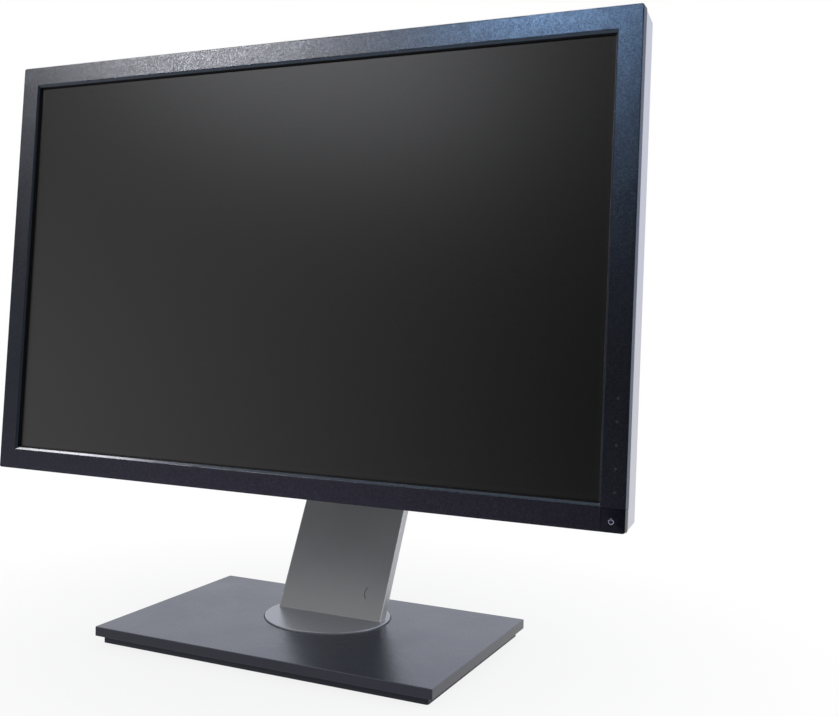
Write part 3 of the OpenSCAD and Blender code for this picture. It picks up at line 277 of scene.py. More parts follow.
finishes = {
    "bezel_black": finish(
        "bezelGrain", plastic, (0.0020, 0.0024, 0.0048), 0.297, grain=0.9, depth=0.008, gloss=0.2, wear=0.0,
        cloud=0.2, tint=(0.62, 0.74, 1.0), spread=0.0,
        flake=dict(size=0.85, tilt=0.04, share=(0.22, 1.0), color=(0.0225, 0.0275, 0.036))),
    # Lip facet: smooth satin plastic whose base colour is lighter and bluer than the face's as a painted sheen;
    # its rubbed edges are partly real wear and partly a painted highlight line along the ridge
    "bezelBevelSheen": finish(
        "bezelBevelSheen", plastic, (0.007, 0.011, 0.022), 0.18, grain=3.0, depth=0.002, wear=0.1,
        tint=(0.7, 0.86, 1.0)),
    # Steep inner facet by the opening: a darker, duller copy of the bezel plastic, painted shade for the black
    # line at the screen's edge
    "bezelInnerShade": finish(
        "bezelInnerShade", plastic, (0.0016, 0.0018, 0.003), 0.55, grain=2.0, depth=0.002, gloss=0.12, wear=0.0),
    "key_black": finish(
        "keySatin", plastic, (0.002, 0.0024, 0.005), 0.30, depth=0.012, gloss=0.2, wear=0.0,
        tint=(0.6, 0.74, 1.0)),
    "mark_grey": finish("smokedMark", plastic, (0.012, 0.013, 0.020), 0.3, grain=1.0, depth=0.002),
    "ring_blue": finish("ringInk", plastic, (0.19, 0.22, 0.32), 0.35, grain=0.5, depth=0.002, wear=0.0),
    "band_silver": finish(
        "bandSilver", plastic, (0.56, 0.56, 0.62), 0.34, grain=0.3, depth=0.006, cloud=0.04, wear=0.25,
        metal=0.6),
    "cover_black": finish("coverGrain", plastic, (0.016, 0.016, 0.019), 0.5, grain=0.9, depth=0.06, wear=0.4),
    "screen_glass": finish(
        "screenFilm", screenFilm, (0.0012, 0.0012, 0.0013), 0.3, borderColor=(0.0042, 0.0036, 0.0030),
        middleZ=0.325, pictureW=515, pictureH=315, fade=0.3, spread=0.03, fine=0.35, depth=0.008, gloss=0.62),
    "film_white": finish("diffuserFilm", clear, (0.82, 0.84, 0.86), 0.5, 0.3),
    "guide_clear": finish("guideAcrylic", clear, (0.75, 0.82, 0.85), 0.05, 0.9),
    "tube_glass": finish("tubeGlass", clear, (0.90, 0.90, 0.86), 0.15, 0.2),
    "holder_rubber": finish("holderRubber", rubber, (0.55, 0.55, 0.52)),
    "sheet_steel": finish("platedSheet", bareMetal, (0.62, 0.63, 0.64), 0.32, streak=(0.06, 1, 1)),
    "panel_steel": finish("panelCoat", powder, (0.008, 0.008, 0.010), 0.5),
    "tray_alu": finish("brightTray", bareMetal, (0.80, 0.81, 0.82), 0.25, streak=(0.06, 1, 1)),
    "board_green": finish("boardGreen", circuit, (0.015, 0.11, 0.045), (0.03, 0.22, 0.09)),
    "board_tan": finish("boardTan", circuit, (0.28, 0.18, 0.07), (0.42, 0.30, 0.14)),
    "parts_black": finish("partsBlack", plastic, (0.035, 0.035, 0.04), 0.4, grain=0.5, depth=0.01),
    "socket_black": finish("socketBlack", plastic, (0.012, 0.012, 0.014), 0.38, grain=0.4, depth=0.008),
    "socket_metal": finish("nickelShell", bareMetal, (0.66, 0.66, 0.66), 0.22, streak=(1, 1, 0.08)),
    "screw_steel": finish("blackZinc", bareMetal, (0.10, 0.10, 0.11), 0.35, stain=0.2),
    "mount_steel": finish("mountSteel", bareMetal, (0.50, 0.51, 0.52), 0.34, streak=(1, 1, 0.05)),
    "bracket_black": finish("bracketCoat", powder, (0.022, 0.022, 0.026), 0.42),
    "pin_steel": finish("groundPin", bareMetal, (0.68, 0.69, 0.70), 0.16, streak=(0.1, 1, 1)),
    "spring_steel": finish("springSteel", bareMetal, (0.34, 0.35, 0.37), 0.3, stain=0.2),
    "washer_brass": finish("washerBrass", bareMetal, (0.66, 0.47, 0.19), 0.28),
    "glide_white": finish("glideAcetal", plastic, (0.70, 0.70, 0.66), 0.4, depth=0.006, cloud=0.04),
    "neck_silver": finish(
        "neckSilver", lacquer, (0.47, 0.47, 0.48), 0.38, grain=0.35, depth=0.007, cloud=0.05, wear=0.3,
        metal=0.5,
        rub=dict(x=34.0, z=36.5, r=4.2, squeeze=0.85, full=0.75, none=0.3, core=0.1, w=0.5, frontY=(48, 54),
                 depth=0.15, color=(0.07, 0.07, 0.075))),
    "disc_silver": finish(
        "discSilver", plastic, (0.455, 0.47, 0.50), 0.32, grain=0.35, depth=0.004, cloud=0.05, wear=0.3,
        metal=0.5),
    "neck_black": finish("neckBlack", plastic, (0.016, 0.016, 0.019), 0.5, grain=0.9, depth=0.05),
    "button_grey": finish("buttonGrey", plastic, (0.085, 0.085, 0.095), 0.4, grain=0.4, depth=0.01),
    "base_black": finish(
        "baseGrain", plastic, (0.002, 0.004, 0.014), 0.28, grain=0.8, depth=0.03, gloss=0.9, cloud=0.15,
        wear=0.4, tint=(0.79, 0.85, 1.0), ior=1.66),
    # Side wall of the base: a darker, less glossy copy of the top's finish, painted shade for the side
    "baseSideShade": finish(
        "baseSideShade", plastic, (0.003, 0.003, 0.010), 0.22, grain=0.8, depth=0.01, gloss=0.55, cloud=0.15,
        wear=0.4, tint=(0.82, 0.84, 1.0)),
    "tray_black": finish(
        "trayBlack", plastic, (0.004, 0.004, 0.009), 0.45, grain=0.8, gloss=0.35, tint=(0.8, 0.82, 1.0)),
    "foot_rubber": finish("footRubber", rubber, (0.010, 0.010, 0.012)),
}
print("finishes made:", len(finishes))


def shaded(mesh, sharp=32):
    for face in mesh.polygons:
        face.use_smooth = True
    mesh.set_sharp_from_angle(angle=math.radians(sharp))


# Welds points closer than weld, turns the faces outward and smooths the mesh
def cleaned(mesh, weld=0):
    work = bmesh.new()
    work.from_mesh(mesh)
    if weld:
        bmesh.ops.remove_doubles(work, verts=work.verts, dist=weld)
    bmesh.ops.recalc_face_normals(work, faces=work.faces)
    work.to_mesh(mesh)
    work.free()
    shaded(mesh)


def placed(name, mesh):
    thing = bpy.data.objects.new(name, mesh)
    bpy.context.scene.collection.objects.link(thing)
    return thing


def meshObject(name, points, faces, place, tags=None, wear=None):
    mesh = bpy.data.meshes.new(name)
    mesh.from_pydata([tuple(p) for p in points], [], faces)
    if tags:
        for slot in range(max(tags) + 1):
            mesh.materials.append(None)
        mesh.polygons.foreach_set("material_index", tags)
    if wear:
        mesh.attributes.new("edgeWear", "FLOAT", "POINT").data.foreach_set("value", wear)
    mesh.transform(place)
    cleaned(mesh, 1e-6)
    return placed(name, mesh)


# Faces that join each loop of points to the next, with a cap at both ends where they don't close
def joined(loops, count, closed=False):
    faces = []
    for i in range(loops if closed else loops - 1):
        j = (i + 1) % loops
        faces += [(i * count + k, i * count + (k + 1) % count, j * count + (k + 1) % count, j * count + k)
                  for k in range(count)]
    if not closed:
        faces += [tuple(range(count)), tuple(range((loops - 1) * count, loops * count))]
    return faces


# A ring is (half width, low, high, corner radius, depth)
def ringPoints(ring, steps):
    halfW, low, high, radius, depth = ring
    top, bottom = high - radius, low + radius
    for side, centre, start in ((1, top, 0), (-1, top, 90), (-1, bottom, 180), (1, bottom, 270)):
        for k in range(steps + 1):
            a = math.radians(start + 90 * k / steps)
            yield side * (halfW - radius) + radius * math.cos(a), depth, centre + radius * math.sin(a)


def stepOf(a, b):
    return max(1e-9, math.hypot(max(abs(a[i] - b[i]) for i in range(3)), a[4] - b[4]))


# Rounds the corners of a run of rings: each row is (ring, softness, finish number)
def softened(rows, closed, steps=4, most=0.48):
    out = []
    for i, (ring, soft, tag) in enumerate(rows):
        here = Vector(ring)
        if not soft or (not closed and i in (0, len(rows) - 1)):
            out.append((here, 0.0, tag))
            continue
        before, after = Vector(rows[i - 1][0]), Vector(rows[(i + 1) % len(rows)][0])
        a = here + (before - here) * min(most, soft / stepOf(here, before))
        c = here + (after - here) * min(most, soft / stepOf(here, after))
        for k in range(steps + 1):
            t = k / steps
            out.append((a * (1 - t) ** 2 + here * 2 * t * (1 - t) + c * t * t, 4 * t * (1 - t), tag))
    return out


def ringSolid(name, rows, place, closed=True, corner=6):
    rings = softened(rows, closed)
    points, wear, tags, count = [], [], [], 4 * (corner + 1)
    for ring, rub, tag in rings:
        points += ringPoints(ring, corner)
        wear += [rub] * count
        tags += [tag] * count
    if not closed:
        tags = tags[:-count] + [rings[0][2], rings[-1][2]]
    return meshObject(name, points, joined(len(rings), count, closed), place, tags, wear)


def addBox(points, faces, low, high):
    start = len(points)
    points += [[(low, high)[(i >> n) & 1][n] for n in range(3)] for i in range(8)]
    faces += [tuple(start + k for k in face) for face in
              ((0, 1, 3, 2), (4, 6, 7, 5), (0, 4, 5, 1), (2, 3, 7, 6), (0, 2, 6, 4), (1, 5, 7, 3))]


# A block from low to high, as a cutter or a core
def block(name, low, high, place):
    points, faces = [], []
    addBox(points, faces, low, high)
    return meshObject(name, points, faces, place)


# A turned shape: rows of (radius, height) and perhaps rub, about the z axis of place
def turned(name, rows, place, sides=96, closed=False):
    points, wear = [], []
    turns = [2 * math.pi * k / sides for k in range(sides)]
    for r, h, *rub in rows:
        points += [(r * math.cos(a), r * math.sin(a), h) for a in turns]
        wear += [rub[0] if rub else 0.0] * sides
    return meshObject(name, points, joined(len(rows), sides, closed), place, wear=wear)


def settle(piece):
    graph = bpy.context.evaluated_depsgraph_get()
    mesh = bpy.data.meshes.new_from_object(piece.evaluated_get(graph))
    piece.modifiers.clear()
    piece.data = mesh
    return piece


def carve(piece, *cutters, kind="DIFFERENCE"):
    for cutter in cutters:
        cut = piece.modifiers.new("carve", "BOOLEAN")
        cut.object, cut.solver, cut.operation = cutter, "EXACT", kind
    settle(piece)
    for cutter in cutters:
        bpy.data.objects.remove(cutter)
    shaded(piece.data)
    return piece


def bevelled(piece, width, segments=2, angle=40):
    edge = piece.modifiers.new("edges", "BEVEL")
    edge.width, edge.segments, edge.limit_method = width * mm, segments, "ANGLE"
    edge.angle_limit = math.radians(angle)
    edge.harden_normals = True
    return piece


def evened(piece):
    even = piece.modifiers.new("even", "WEIGHTED_NORMAL")
    even.keep_sharp = True
    even.weight = 100
    return piece


# Gives a piece its body, its finish and the nodes that it stands for
def dressed(piece, body, slot, *replaced, extra=()):
    kept = [face.material_index for face in piece.data.polygons]
    piece.data.materials.clear()
    for name in (slot, *extra):
        piece.data.materials.append(finishes[name])
    piece.data.polygons.foreach_set("material_index", kept if extra else [0] * len(kept))
    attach(piece, body)
    if replaced:
        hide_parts(*replaced)
    return piece


# Starts a tree with a mesh and the named values as its inputs
def newTree(name, wanted):
    tree = bpy.data.node_groups.new(name, "GeometryNodeTree")
    tree.interface.new_socket("Geometry", in_out="OUTPUT", socket_type="NodeSocketGeometry")
    for label, kind in (("Geometry", "Geometry"), *wanted):
        tree.interface.new_socket(label, in_out="INPUT", socket_type="NodeSocket" + kind)
    return tree, added(tree, "NodeGroupInput").outputs


def copies(tree, points, shape, **more):
    values = {"Points": points, "Instance": shape, **more}
    return added(tree, "GeometryNodeInstanceOnPoints", values).outputs[0]


def real(tree, made):
    return added(tree, "GeometryNodeRealizeInstances", {0: made}).outputs[0]


# Repeats the object's own mesh in rows and columns
def gridTree():
    tree, given = newTree("gridOfShapes", (("Across", "Int"), ("Down", "Int"), ("Pitch across", "Vector"),
                                           ("Pitch down", "Vector")))
    row, column = [
        added(tree, "GeometryNodeMeshLine", {"Count": given[way], "Offset": given["Pitch " + way.lower()]})
        for way in ("Across", "Down")]
    spots = real(tree, copies(tree, row.outputs[0], column.outputs[0]))
    made = copies(tree, spots, given["Geometry"])
    added(tree, "NodeGroupOutput", {0: real(tree, made)})
    return tree


# Repeats the object's own mesh round its z axis
def circleTree():
    tree, given = newTree("ringOfShapes", (("Count", "Int"), ("Radius", "Float")))
    circle = added(tree, "GeometryNodeMeshCircle", {"Vertices": given["Count"], "Radius": given["Radius"]})
    share = sums(tree, "DIVIDE", added(tree, "GeometryNodeInputIndex").outputs[0], given["Count"])
    turn = added(tree, "ShaderNodeCombineXYZ", {"Z": times(tree, share, 2 * math.pi)})
    made = copies(tree, circle.outputs[0], given["Geometry"], Rotation=turn.outputs[0])
    added(tree, "NodeGroupOutput", {0: real(tree, made)})
    return tree


# Sweeps a round wire along a helix about the z axis, and leaves the object's own mesh out
def coilTree(helixSteps=36, wireSides=12):
    tree, given = newTree("woundWire", (("Turns", "Float"), ("Radius", "Float"), ("Length", "Float"),
                                        ("Wire radius", "Float")))
    helix = added(tree, "GeometryNodeCurveSpiral", {
        "Resolution": helixSteps, "Rotations": given["Turns"], "Start Radius": given["Radius"],
        "End Radius": given["Radius"], "Height": given["Length"]})
    wire = added(tree, "GeometryNodeCurvePrimitiveCircle", {
        "Resolution": wireSides, "Radius": given["Wire radius"]})
    made = added(tree, "GeometryNodeCurveToMesh", {
        "Curve": helix.outputs[0], "Profile Curve": wire.outputs[0], "Fill Caps": True})
    added(tree, "NodeGroupOutput", {0: made.outputs[0]})
    return tree


trees = {"grid": gridTree(), "circle": circleTree(), "coil": coilTree()}


# Runs a tree on a shape drawn in millimetres, and leaves a plain mesh in its place
def repeated(name, shape, kind, place, **values):
    tree = trees[kind]
    make = shape.modifiers.new("make", "NODES")
    make.node_group = tree
    inputs = [s for s in tree.interface.items_tree if s.in_out == "INPUT"]
    sockets = {s.name.replace(" ", "").lower(): s.identifier for s in inputs}
    for label, value in values.items():
        make[sockets[label.lower()]] = value
    settle(shape)
    shape.name = shape.data.name = name
    shape.data.transform(place)
    cleaned(shape.data)
    return shape


def gridOf(name, shape, place, across, down=1, stepX=1.0, stepY=0.0, stepZ=1.0):
    return repeated(name, shape, "grid", place, across=across, down=down, pitchAcross=(stepX, 0, 0),
                    pitchDown=(0, stepY, stepZ))


bezel = dict(side=17, top=16.25, bottom=16.9, bevelSide=1.8, bevelEnd=3, bevelD=3, skirt=9, wall=2.2,
             lipShare=0.62, lipD=1.5, edge=0.7, inner=0.25, keyX=263.25, keyZ=-164.4, keySide=266.35,
             keyEnd=-165.9, keyD=8.1, gap=0.3, past=2)


def bezelForm(name):
    w, h, r = head["halfW"], head["halfH"], head["cornerR"]
    faceW, faceLow, faceHigh = w - bezel["side"], -h + bezel["bottom"], h - bezel["top"]
    side, end, wall, deep = bezel["bevelSide"], bezel["bevelEnd"], bezel["wall"], bezel["bevelD"]
    lip, lipEnd = side * bezel["lipShare"], end * bezel["lipShare"]
    rows = [
        ((w, -h, h, r, 0), bezel["edge"], 0),
        ((w, -h, h, r, bezel["skirt"]), 0.15, 0),
        ((w - wall, -h + wall, h - wall, 1.5, bezel["skirt"]), 0.15, 0),
        ((w - wall, -h + wall, h - wall, 1.5, deep), 0, 0),
        # Finish 1 on the lip facet is lighter as painted sheen; finish 2 on the steep facet by the opening is
        # darker as painted shade
        ((faceW - side, faceLow + end, faceHigh - end, 0.4, deep), 0.1, 2),
        ((faceW - lip, faceLow + lipEnd, faceHigh - lipEnd, 0.5, bezel["lipD"]), 0.2, 1),
        ((faceW, faceLow, faceHigh, 0.6, 0), bezel["inner"], 0),
    ]
    return ringSolid(name, rows, headPlace)


# The bezel's lower right corner, out to the given gap round the key and down to the given depth
def keyCorner(name, gap, depth):
    past = bezel["past"]
    return block(name, (bezel["keyX"] - gap, -past, -head["halfH"] - past),
                 (head["halfW"] + past, depth, bezel["keyZ"] + gap), headPlace)


def makeBezel():
    piece = carve(bezelForm("bezel"), keyCorner("corner", bezel["gap"], bezel["skirt"] + bezel["past"]))
    dressed(evened(piece), "head", "bezel_black", "front_bezel", extra=("bezelBevelSheen", "bezelInnerShade"))


def makeKey():
    travelRoom = block("travelRoom", (bezel["keyX"] - 1, bezel["bevelD"] - 0.5, bezel["keyEnd"]),
                       (bezel["keySide"], bezel["skirt"], bezel["keyZ"] + 1), headPlace)
    piece = carve(bezelForm("powerKey"), keyCorner("keyRoom", 0, bezel["keyD"]), kind="INTERSECT")
    carve(piece, travelRoom)
    dressed(bevelled(piece, 0.12), "power_key", "key_black", "power_key")


makeBezel()
makeKey()

band = dict(skin=1.6, lip=3.2, lipT=2, front=9.1, flat=16, back=30,
            frontIn=(0.2, 0.8), flatIn=(0.3, 1.8), backIn=(0.5, 4))


def makeBand():
    def row(inset, more, depth, soft):
        side, end = inset[0] + more, inset[1] + more
        radius = max(0.5, head["cornerR"] - more)
        return (head["halfW"] - side, -head["halfH"] + end, head["halfH"] - end, radius, depth), soft, 0
    rows = [
        row(band["frontIn"], 0, band["front"], 0.25),
        row(band["flatIn"], 0, band["flat"], 0),
        row(band["backIn"], 0, band["back"], 0.5),
        row(band["backIn"], band["lip"], band["back"], 0.2),
        row(band["backIn"], band["lip"], band["back"] - band["lipT"], 0),
        row(band["backIn"], band["skin"], band["back"] - band["lipT"], 0),
        row(band["frontIn"], band["skin"], band["front"], 0.2),
    ]
    dressed(evened(ringSolid("sideBand", rows, headPlace)), "head", "band_silver", "side_band")


makeBand()

ink = dict(x=270.4, z=-173.1, r=1.95, w=0.6, gapDeg=30, steps=40, barTop=2.5, barLow=0.5, barW=0.55,
           proud=0.04, sink=0.5)


# Standby sign: an open ring with a short upright bar in its gap
def makeKeySign():
    x, z, gap, out, deep = ink["x"], ink["z"], math.radians(ink["gapDeg"]), -ink["proud"], ink["sink"]
    inner, outer = ink["r"] - ink["w"], ink["r"]
    points = []
    for k in range(ink["steps"] + 1):
        a = math.pi / 2 + gap + (2 * math.pi - 2 * gap) * k / ink["steps"]
        points += [(x + r * math.cos(a), depth, z + r * math.sin(a))
                   for r, depth in ((inner, out), (inner, deep), (outer, deep), (outer, out))]
    faces = joined(ink["steps"] + 1, 4)
    half = ink["barW"] / 2
    addBox(points, faces, (x - half, out, z + ink["barLow"]), (x + half, deep, z + ink["barTop"]))
    dressed(meshObject("keySign", points, faces, headPlace), "power_key", "ring_blue", "power_ring")


makeKeySign()

mark = dict(x=272.05, first=-153.5, pitch=15.85, count=5, r=1.0, proud=0.03, sink=0.4)


def makeTouchMarks():
    toFront = Matrix.Rotation(math.radians(90), 4, "X") @ Matrix.Scale(-1, 4, (0, 0, 1))
    r, proud = mark["r"], mark["proud"]
    rows = [(r * 0.3, -proud * 1.6), (r * 0.8, -proud * 1.3), (r, 0), (r, mark["sink"])]
    shape = turned("mark", rows, toFront, 24)
    dots = gridOf("touchMarks", shape, moved(headPlace, mark["x"], 0, mark["first"]), 1, mark["count"],
                  stepZ=mark["pitch"])
    dressed(dots, "head", "mark_grey", "touch_marks")


makeTouchMarks()
print("head front made")


cover = dict(front=30, shelf=38, back=81, rim=(277.55, 174.2), shelfAt=(265.55, 162.2), foot=(215, 131),
             hump=(186, 102), top=(156, 90), past=90, bayW=160, bayLow=-135, bayZ=-84, bayD=38.02,
             window=63, windowD=73, windowR=4, screwX=240.05, screwZ=141.92, screwD=36.8, sinkR=3.8, sinkD=6)
pockets = dict(
    buttonSlot=((-7.3, 66.5, -77.8), (7.3, 90, -68.2)), latchSlot=((-5.3, 73, -65.1), (5.3, 90, 0)),
    cardSlot=((-225, 45.7, 7.7), (-191, 60.3, 62.3)), lockSlot=((169.5, 75, -87), (176.5, 90, -80)))
sockets = dict(video=[(-132, 40, 12), (-84, 40, 12), (-42, 31, 12), (-10, 18, 7.5), (14, 18, 7.5)],
               data=[(40, 13, 12), (60, 15, 7.5), (80, 15, 7.5)], mains=(118, 28, 20), front=40.6,
               gap=0.3, below=3, above=8)
vents = dict(pitch=10, edge=1, rows=[("topSlots", (5, 29, 44), (-155, 58.5, 116), 32),
                                     ("lowSlots", (5, 16, 12), (-215, 38, -143), 44)])


def slotCutter(name, size, start, count):
    shape = block(name, [-s / 2 for s in size], [s / 2 for s in size], plain)
    settle(bevelled(shape, vents["edge"] / mm, 3))
    return gridOf(name, shape, moved(headPlace, *start), count, stepX=vents["pitch"])


# A block whose upright edges are rounded, square in x and z
def roundedBlock(name, half, front, back, radius):
    rows = [((half, -half, half, radius, depth), 0, 0) for depth in (front, back)]
    return ringSolid(name, rows, headPlace, closed=False)


def makeRearCover():
    rows = [((x, -z, z, radius, depth), soft, 0) for (x, z), depth, soft, radius in (
        (cover["rim"], cover["front"], 0, 3.0), (cover["shelfAt"], cover["shelf"], 1.6, 3.0),
        (cover["foot"], cover["shelf"], 1.2, 5.0), (cover["hump"], cover["back"], 2.2, 5.0),
        (cover["top"], cover["back"], 0, 3.0))]
    piece = ringSolid("rearCover", rows, headPlace, closed=False)
    bayW, bayZ, past = cover["bayW"], cover["bayZ"], cover["past"]
    carve(piece,
          block("bay", (-bayW, cover["bayD"], cover["bayLow"]), (bayW, past, bayZ), headPlace),
          roundedBlock("window", cover["window"], cover["windowD"], past, cover["windowR"]),
          *[block(name, low, high, headPlace) for name, (low, high) in pockets.items()])
    for row in vents["rows"]:
        carve(piece, slotCutter(*row))
    openings, y, gap = [], sockets["front"], sockets["gap"]
    for n, (x, wide, deep) in enumerate(sockets["video"] + sockets["data"] + [sockets["mains"]]):
        openings.append(block("socketRoom%d" % n, (x - wide / 2 - gap, y - gap, bayZ - sockets["below"]),
                              (x + wide / 2 + gap, y + deep + gap, bayZ + sockets["above"]), headPlace))
    for x in (-cover["screwX"], cover["screwX"]):
        for z in (-cover["screwZ"], cover["screwZ"]):
            openings.append(turned("sink", [(cover["sinkR"], 0), (cover["sinkR"], cover["sinkD"])],
                                   toBack(headPlace, x, cover["screwD"], z), 32))
    carve(piece, *openings)
    dressed(evened(bevelled(piece, 0.25, 2, 50)), "head", "cover_black", "rear_cover")


makeRearCover()
print("rear cover made")


# A copy of one of the frame's parts, with merged faces and soft edges
def softCopy(node, name, body, slot, width, angle=35):
    mesh = frame["nodes"][node].data.copy()
    mesh.name = name
    work = bmesh.new()
    work.from_mesh(mesh)
    bmesh.ops.remove_doubles(work, verts=work.verts, dist=2e-6)
    bmesh.ops.dissolve_limit(work, angle_limit=math.radians(1), verts=work.verts, edges=work.edges)
    work.to_mesh(mesh)
    work.free()
    shaded(mesh, angle)
    dressed(bevelled(placed(name, mesh), width, 2, angle), body, slot, node)


softParts = [
    ("mount_frame", "mountFrame", "head", "mount_steel", 0.3),
    ("mount_plate", "mountPlate", "head", "bracket_black", 0.4),
    ("tilt_bracket", "tiltBracket", "head", "bracket_black", 0.6),
    ("tilt_arm", "tiltArm", "carriage", "bracket_black", 0.8),
    ("carriage", "slideBlock", "carriage", "mount_steel", 0.4),
    ("glides", "slideGlides", "carriage", "glide_white", 0.4),
    ("rails", "slideRails", "turntable", "pin_steel", 0.4),
    ("cable_grommet", "cableSleeve", "turntable", "neck_black", 0.5),
    ("video_sockets", "videoShells", "head", "socket_metal", 0.2),
    ("usb_sockets", "dataShells", "head", "socket_metal", 0.15),
    ("side_sockets", "sidePorts", "head", "socket_black", 0.25),
    ("release_latch", "latchHook", "release_latch", "mount_steel", 0.25),
    ("retaining_nut", "discNut", "turntable", "mount_steel", 0.3),
    ("neck_spine", "neckSpine", "turntable", "mount_steel", 0.3),
    ("base_tray", "baseTray", "base", "tray_black", 0.9),
]
for row in softParts:
    softCopy(*row)
print("soft parts made")


neck = dict(w=99.5, footY=25, riserY=78, leanDeg=27.7, bendR=60, bendSteps=12, foot=16.4, top=351.24,
            frontD=9, rearD=12, rearW=79.9, rearGap=0.05, rearDrop=2.7, wall=2.2, edge=1.3, rearEdge=3.0,
            slotW=46, slotLow=195.2, slotTop=346.0, holeW=43.6, holeH=25.6, holeZ=146, holeGap=0.3,
            roomW=68, roomLow=155.2, lockZ=165, lockR=5)


def neckBend(d, a):
    lean = math.radians(neck["leanDeg"])
    vertexZ = neck["foot"] + (neck["riserY"] - neck["footY"]) / math.tan(lean)
    r = neck["bendR"] + d
    return (neck["riserY"] - neck["bendR"] + r * math.cos(a),
            vertexZ + neck["bendR"] * math.tan(lean / 2) + r * math.sin(a))


# Place on the neck's path at offset d: station 0 is the foot, then come the bend and the heights in tops
def neckSpot(d, station, tops):
    lean, bend = math.radians(neck["leanDeg"]), neck["bendSteps"]
    if station == 0:
        y, z = neckBend(d, -lean)
        return y - (z - neck["foot"]) * math.tan(lean), neck["foot"]
    if station <= bend + 1:
        return neckBend(d, -lean * (1 - (station - 1) / bend))
    return neck["riserY"] + d, tops[station - bend - 2]


# Sweeps an outline (x, offset, rub) up the neck; shrink gives the outline near the rounded top
def neckSweep(name, outline, tops, shrink=None):
    first, points, wear = neck["bendSteps"] + 2, [], []
    loops = first + len(tops)
    for s in range(loops):
        for x, d, rub in outline(shrink[s - first] if shrink and s >= first else 0):
            points.append((x, *neckSpot(d, s, tops)))
            wear.append(rub)
    return meshObject(name, points, joined(loops, len(points) // loops), standPlace, wear=wear)


# Closed outline with its corners at d0 rounded by soft and those at d1 by back
def neckOutline(w, d0, d1, soft, back, steps=4):
    def outline(inset):
        half, near, far = w / 2 - inset, d0 + (inset if soft else 0), d1 - (inset if back else 0)
        corners = (1, near, soft, 270), (1, far, back, 0), (-1, far, back, 90), (-1, near, soft, 180)
        for side, d, r, start in corners:
            if not r:
                yield side * half, d, 0.0
                continue
            middle = d + (r if d == near else -r)
            for k in range(steps + 1):
                a = math.radians(start + 90 * k / steps)
                yield side * (half - r) + r * math.cos(a), middle + r * math.sin(a), 1 - abs(k - 2) / 2
    return outline


def topRounding(top, r, steps=4):
    turns = [math.radians(90 * k / steps) for k in range(steps + 1)]
    return [top - r + r * math.sin(a) for a in turns], [r * (1 - math.cos(a)) for a in turns]


def neckBlock(name, halfW, low, high):
    return block(name, (-halfW, neck["riserY"] - 12, low), (halfW, neck["riserY"] + 40, high), standPlace)


def cableHole(name):
    halfH = neck["holeH"] / 2 + neck["holeGap"]
    return neckBlock(name, neck["holeW"] / 2 + neck["holeGap"], neck["holeZ"] - halfH, neck["holeZ"] + halfH)


def makeNeckFront():
    tops, shrink = topRounding(neck["top"], 1.6)
    piece = neckSweep("neckFront", neckOutline(neck["w"], 0, neck["frontD"], neck["edge"], 0), tops, shrink)
    wall = neck["wall"]
    core = neckSweep("neckCore", neckOutline(neck["w"] - 2 * wall, wall, neck["frontD"] + 4, 0, 0),
                     [neck["top"] - wall])
    core.data.transform(Matrix.Translation((0, 0, -mm)))
    carve(piece, core)
    slot = neckBlock("neckSlot", neck["slotW"] / 2, neck["slotLow"], neck["slotTop"])
    carve(piece, slot, cableHole("neckHole"))
    dressed(evened(piece), "turntable", "neck_silver", "neck_front_cover")


def makeNeckRear():
    tops, shrink = topRounding(neck["top"] - neck["rearDrop"], 2.0)
    back = neck["frontD"] + neck["rearD"]
    outline = neckOutline(neck["rearW"], neck["frontD"] + neck["rearGap"], back, 0, neck["rearEdge"])
    piece = neckSweep("neckRear", outline, tops, shrink)
    room = block("rearRoom", (-neck["roomW"] / 2, neck["riserY"] + 3, neck["roomLow"]),
                 (neck["roomW"] / 2, neck["riserY"] + back - neck["wall"], neck["top"] - 5), standPlace)
    r = neck["lockR"] + neck["holeGap"]
    place = toBack(standPlace, 0, neck["riserY"] + 14, neck["lockZ"])
    carve(piece, cableHole("rearHole"), room)
    carve(piece, turned("lockRoom", [(r, 0), (r, 30)], place, 40))
    dressed(evened(piece), "turntable", "neck_black", "neck_rear_cover")


makeNeckFront()
makeNeckRear()


def makeLockButton():
    start, end, r = 15, neck["frontD"] + neck["rearD"] + 2.2, neck["lockR"]
    long = end - start
    rows = [(r, 0), (r, long - 0.9), (r - 0.25, long - 0.3, 1), (r - 0.9, long), (r - 1.6, long - 0.1),
            (r - 3.2, long - 0.45), (0.4, long - 0.55)]
    place = toBack(standPlace, 0, neck["riserY"] + start, neck["lockZ"])
    dressed(turned("lockButton", rows, place, 48), "lock_button", "button_grey", "lock_button")


makeLockButton()
print("neck made")


base = dict(w=151.5, d=101.5, low=7.3, high=15, cornerR=1, edge=0.5, discR=54.4, discY=24, discGap=0.7,
            discLow=14.4, discTop=16.4, spineRoom=((-36.05, 26.5, 10), (36.05, 46.3, 20)), footR=9, footH=2.2,
            feet=[(0, 0), (-125.5, -75.5), (125.5, -75.5), (-125.5, 75.5), (125.5, 75.5)])
discPlace = moved(standPlace, 0, base["discY"], 0)


def makeBaseTop():
    def row(inset, height, soft, tag):
        w, d = base["w"] - inset, base["d"] - inset
        return (w, -d, d, base["cornerR"], height), soft, tag
    # Finish 1 on the side wall is the painted-shade copy of the top's finish
    rows = [row(1, base["low"], 0, 0), row(0, base["low"], 0.3, 1), row(0, base["high"], base["edge"], 0),
            row(20, base["high"], 0, 0)]
    r = base["discR"] + base["discGap"]
    piece = ringSolid("baseTop", rows, flatPlace, closed=False)
    carve(piece, turned("discRoom", [(r, 5), (r, 20)], discPlace, 128))
    dressed(evened(piece), "base", "base_black", "base_cover", extra=("baseSideShade",))


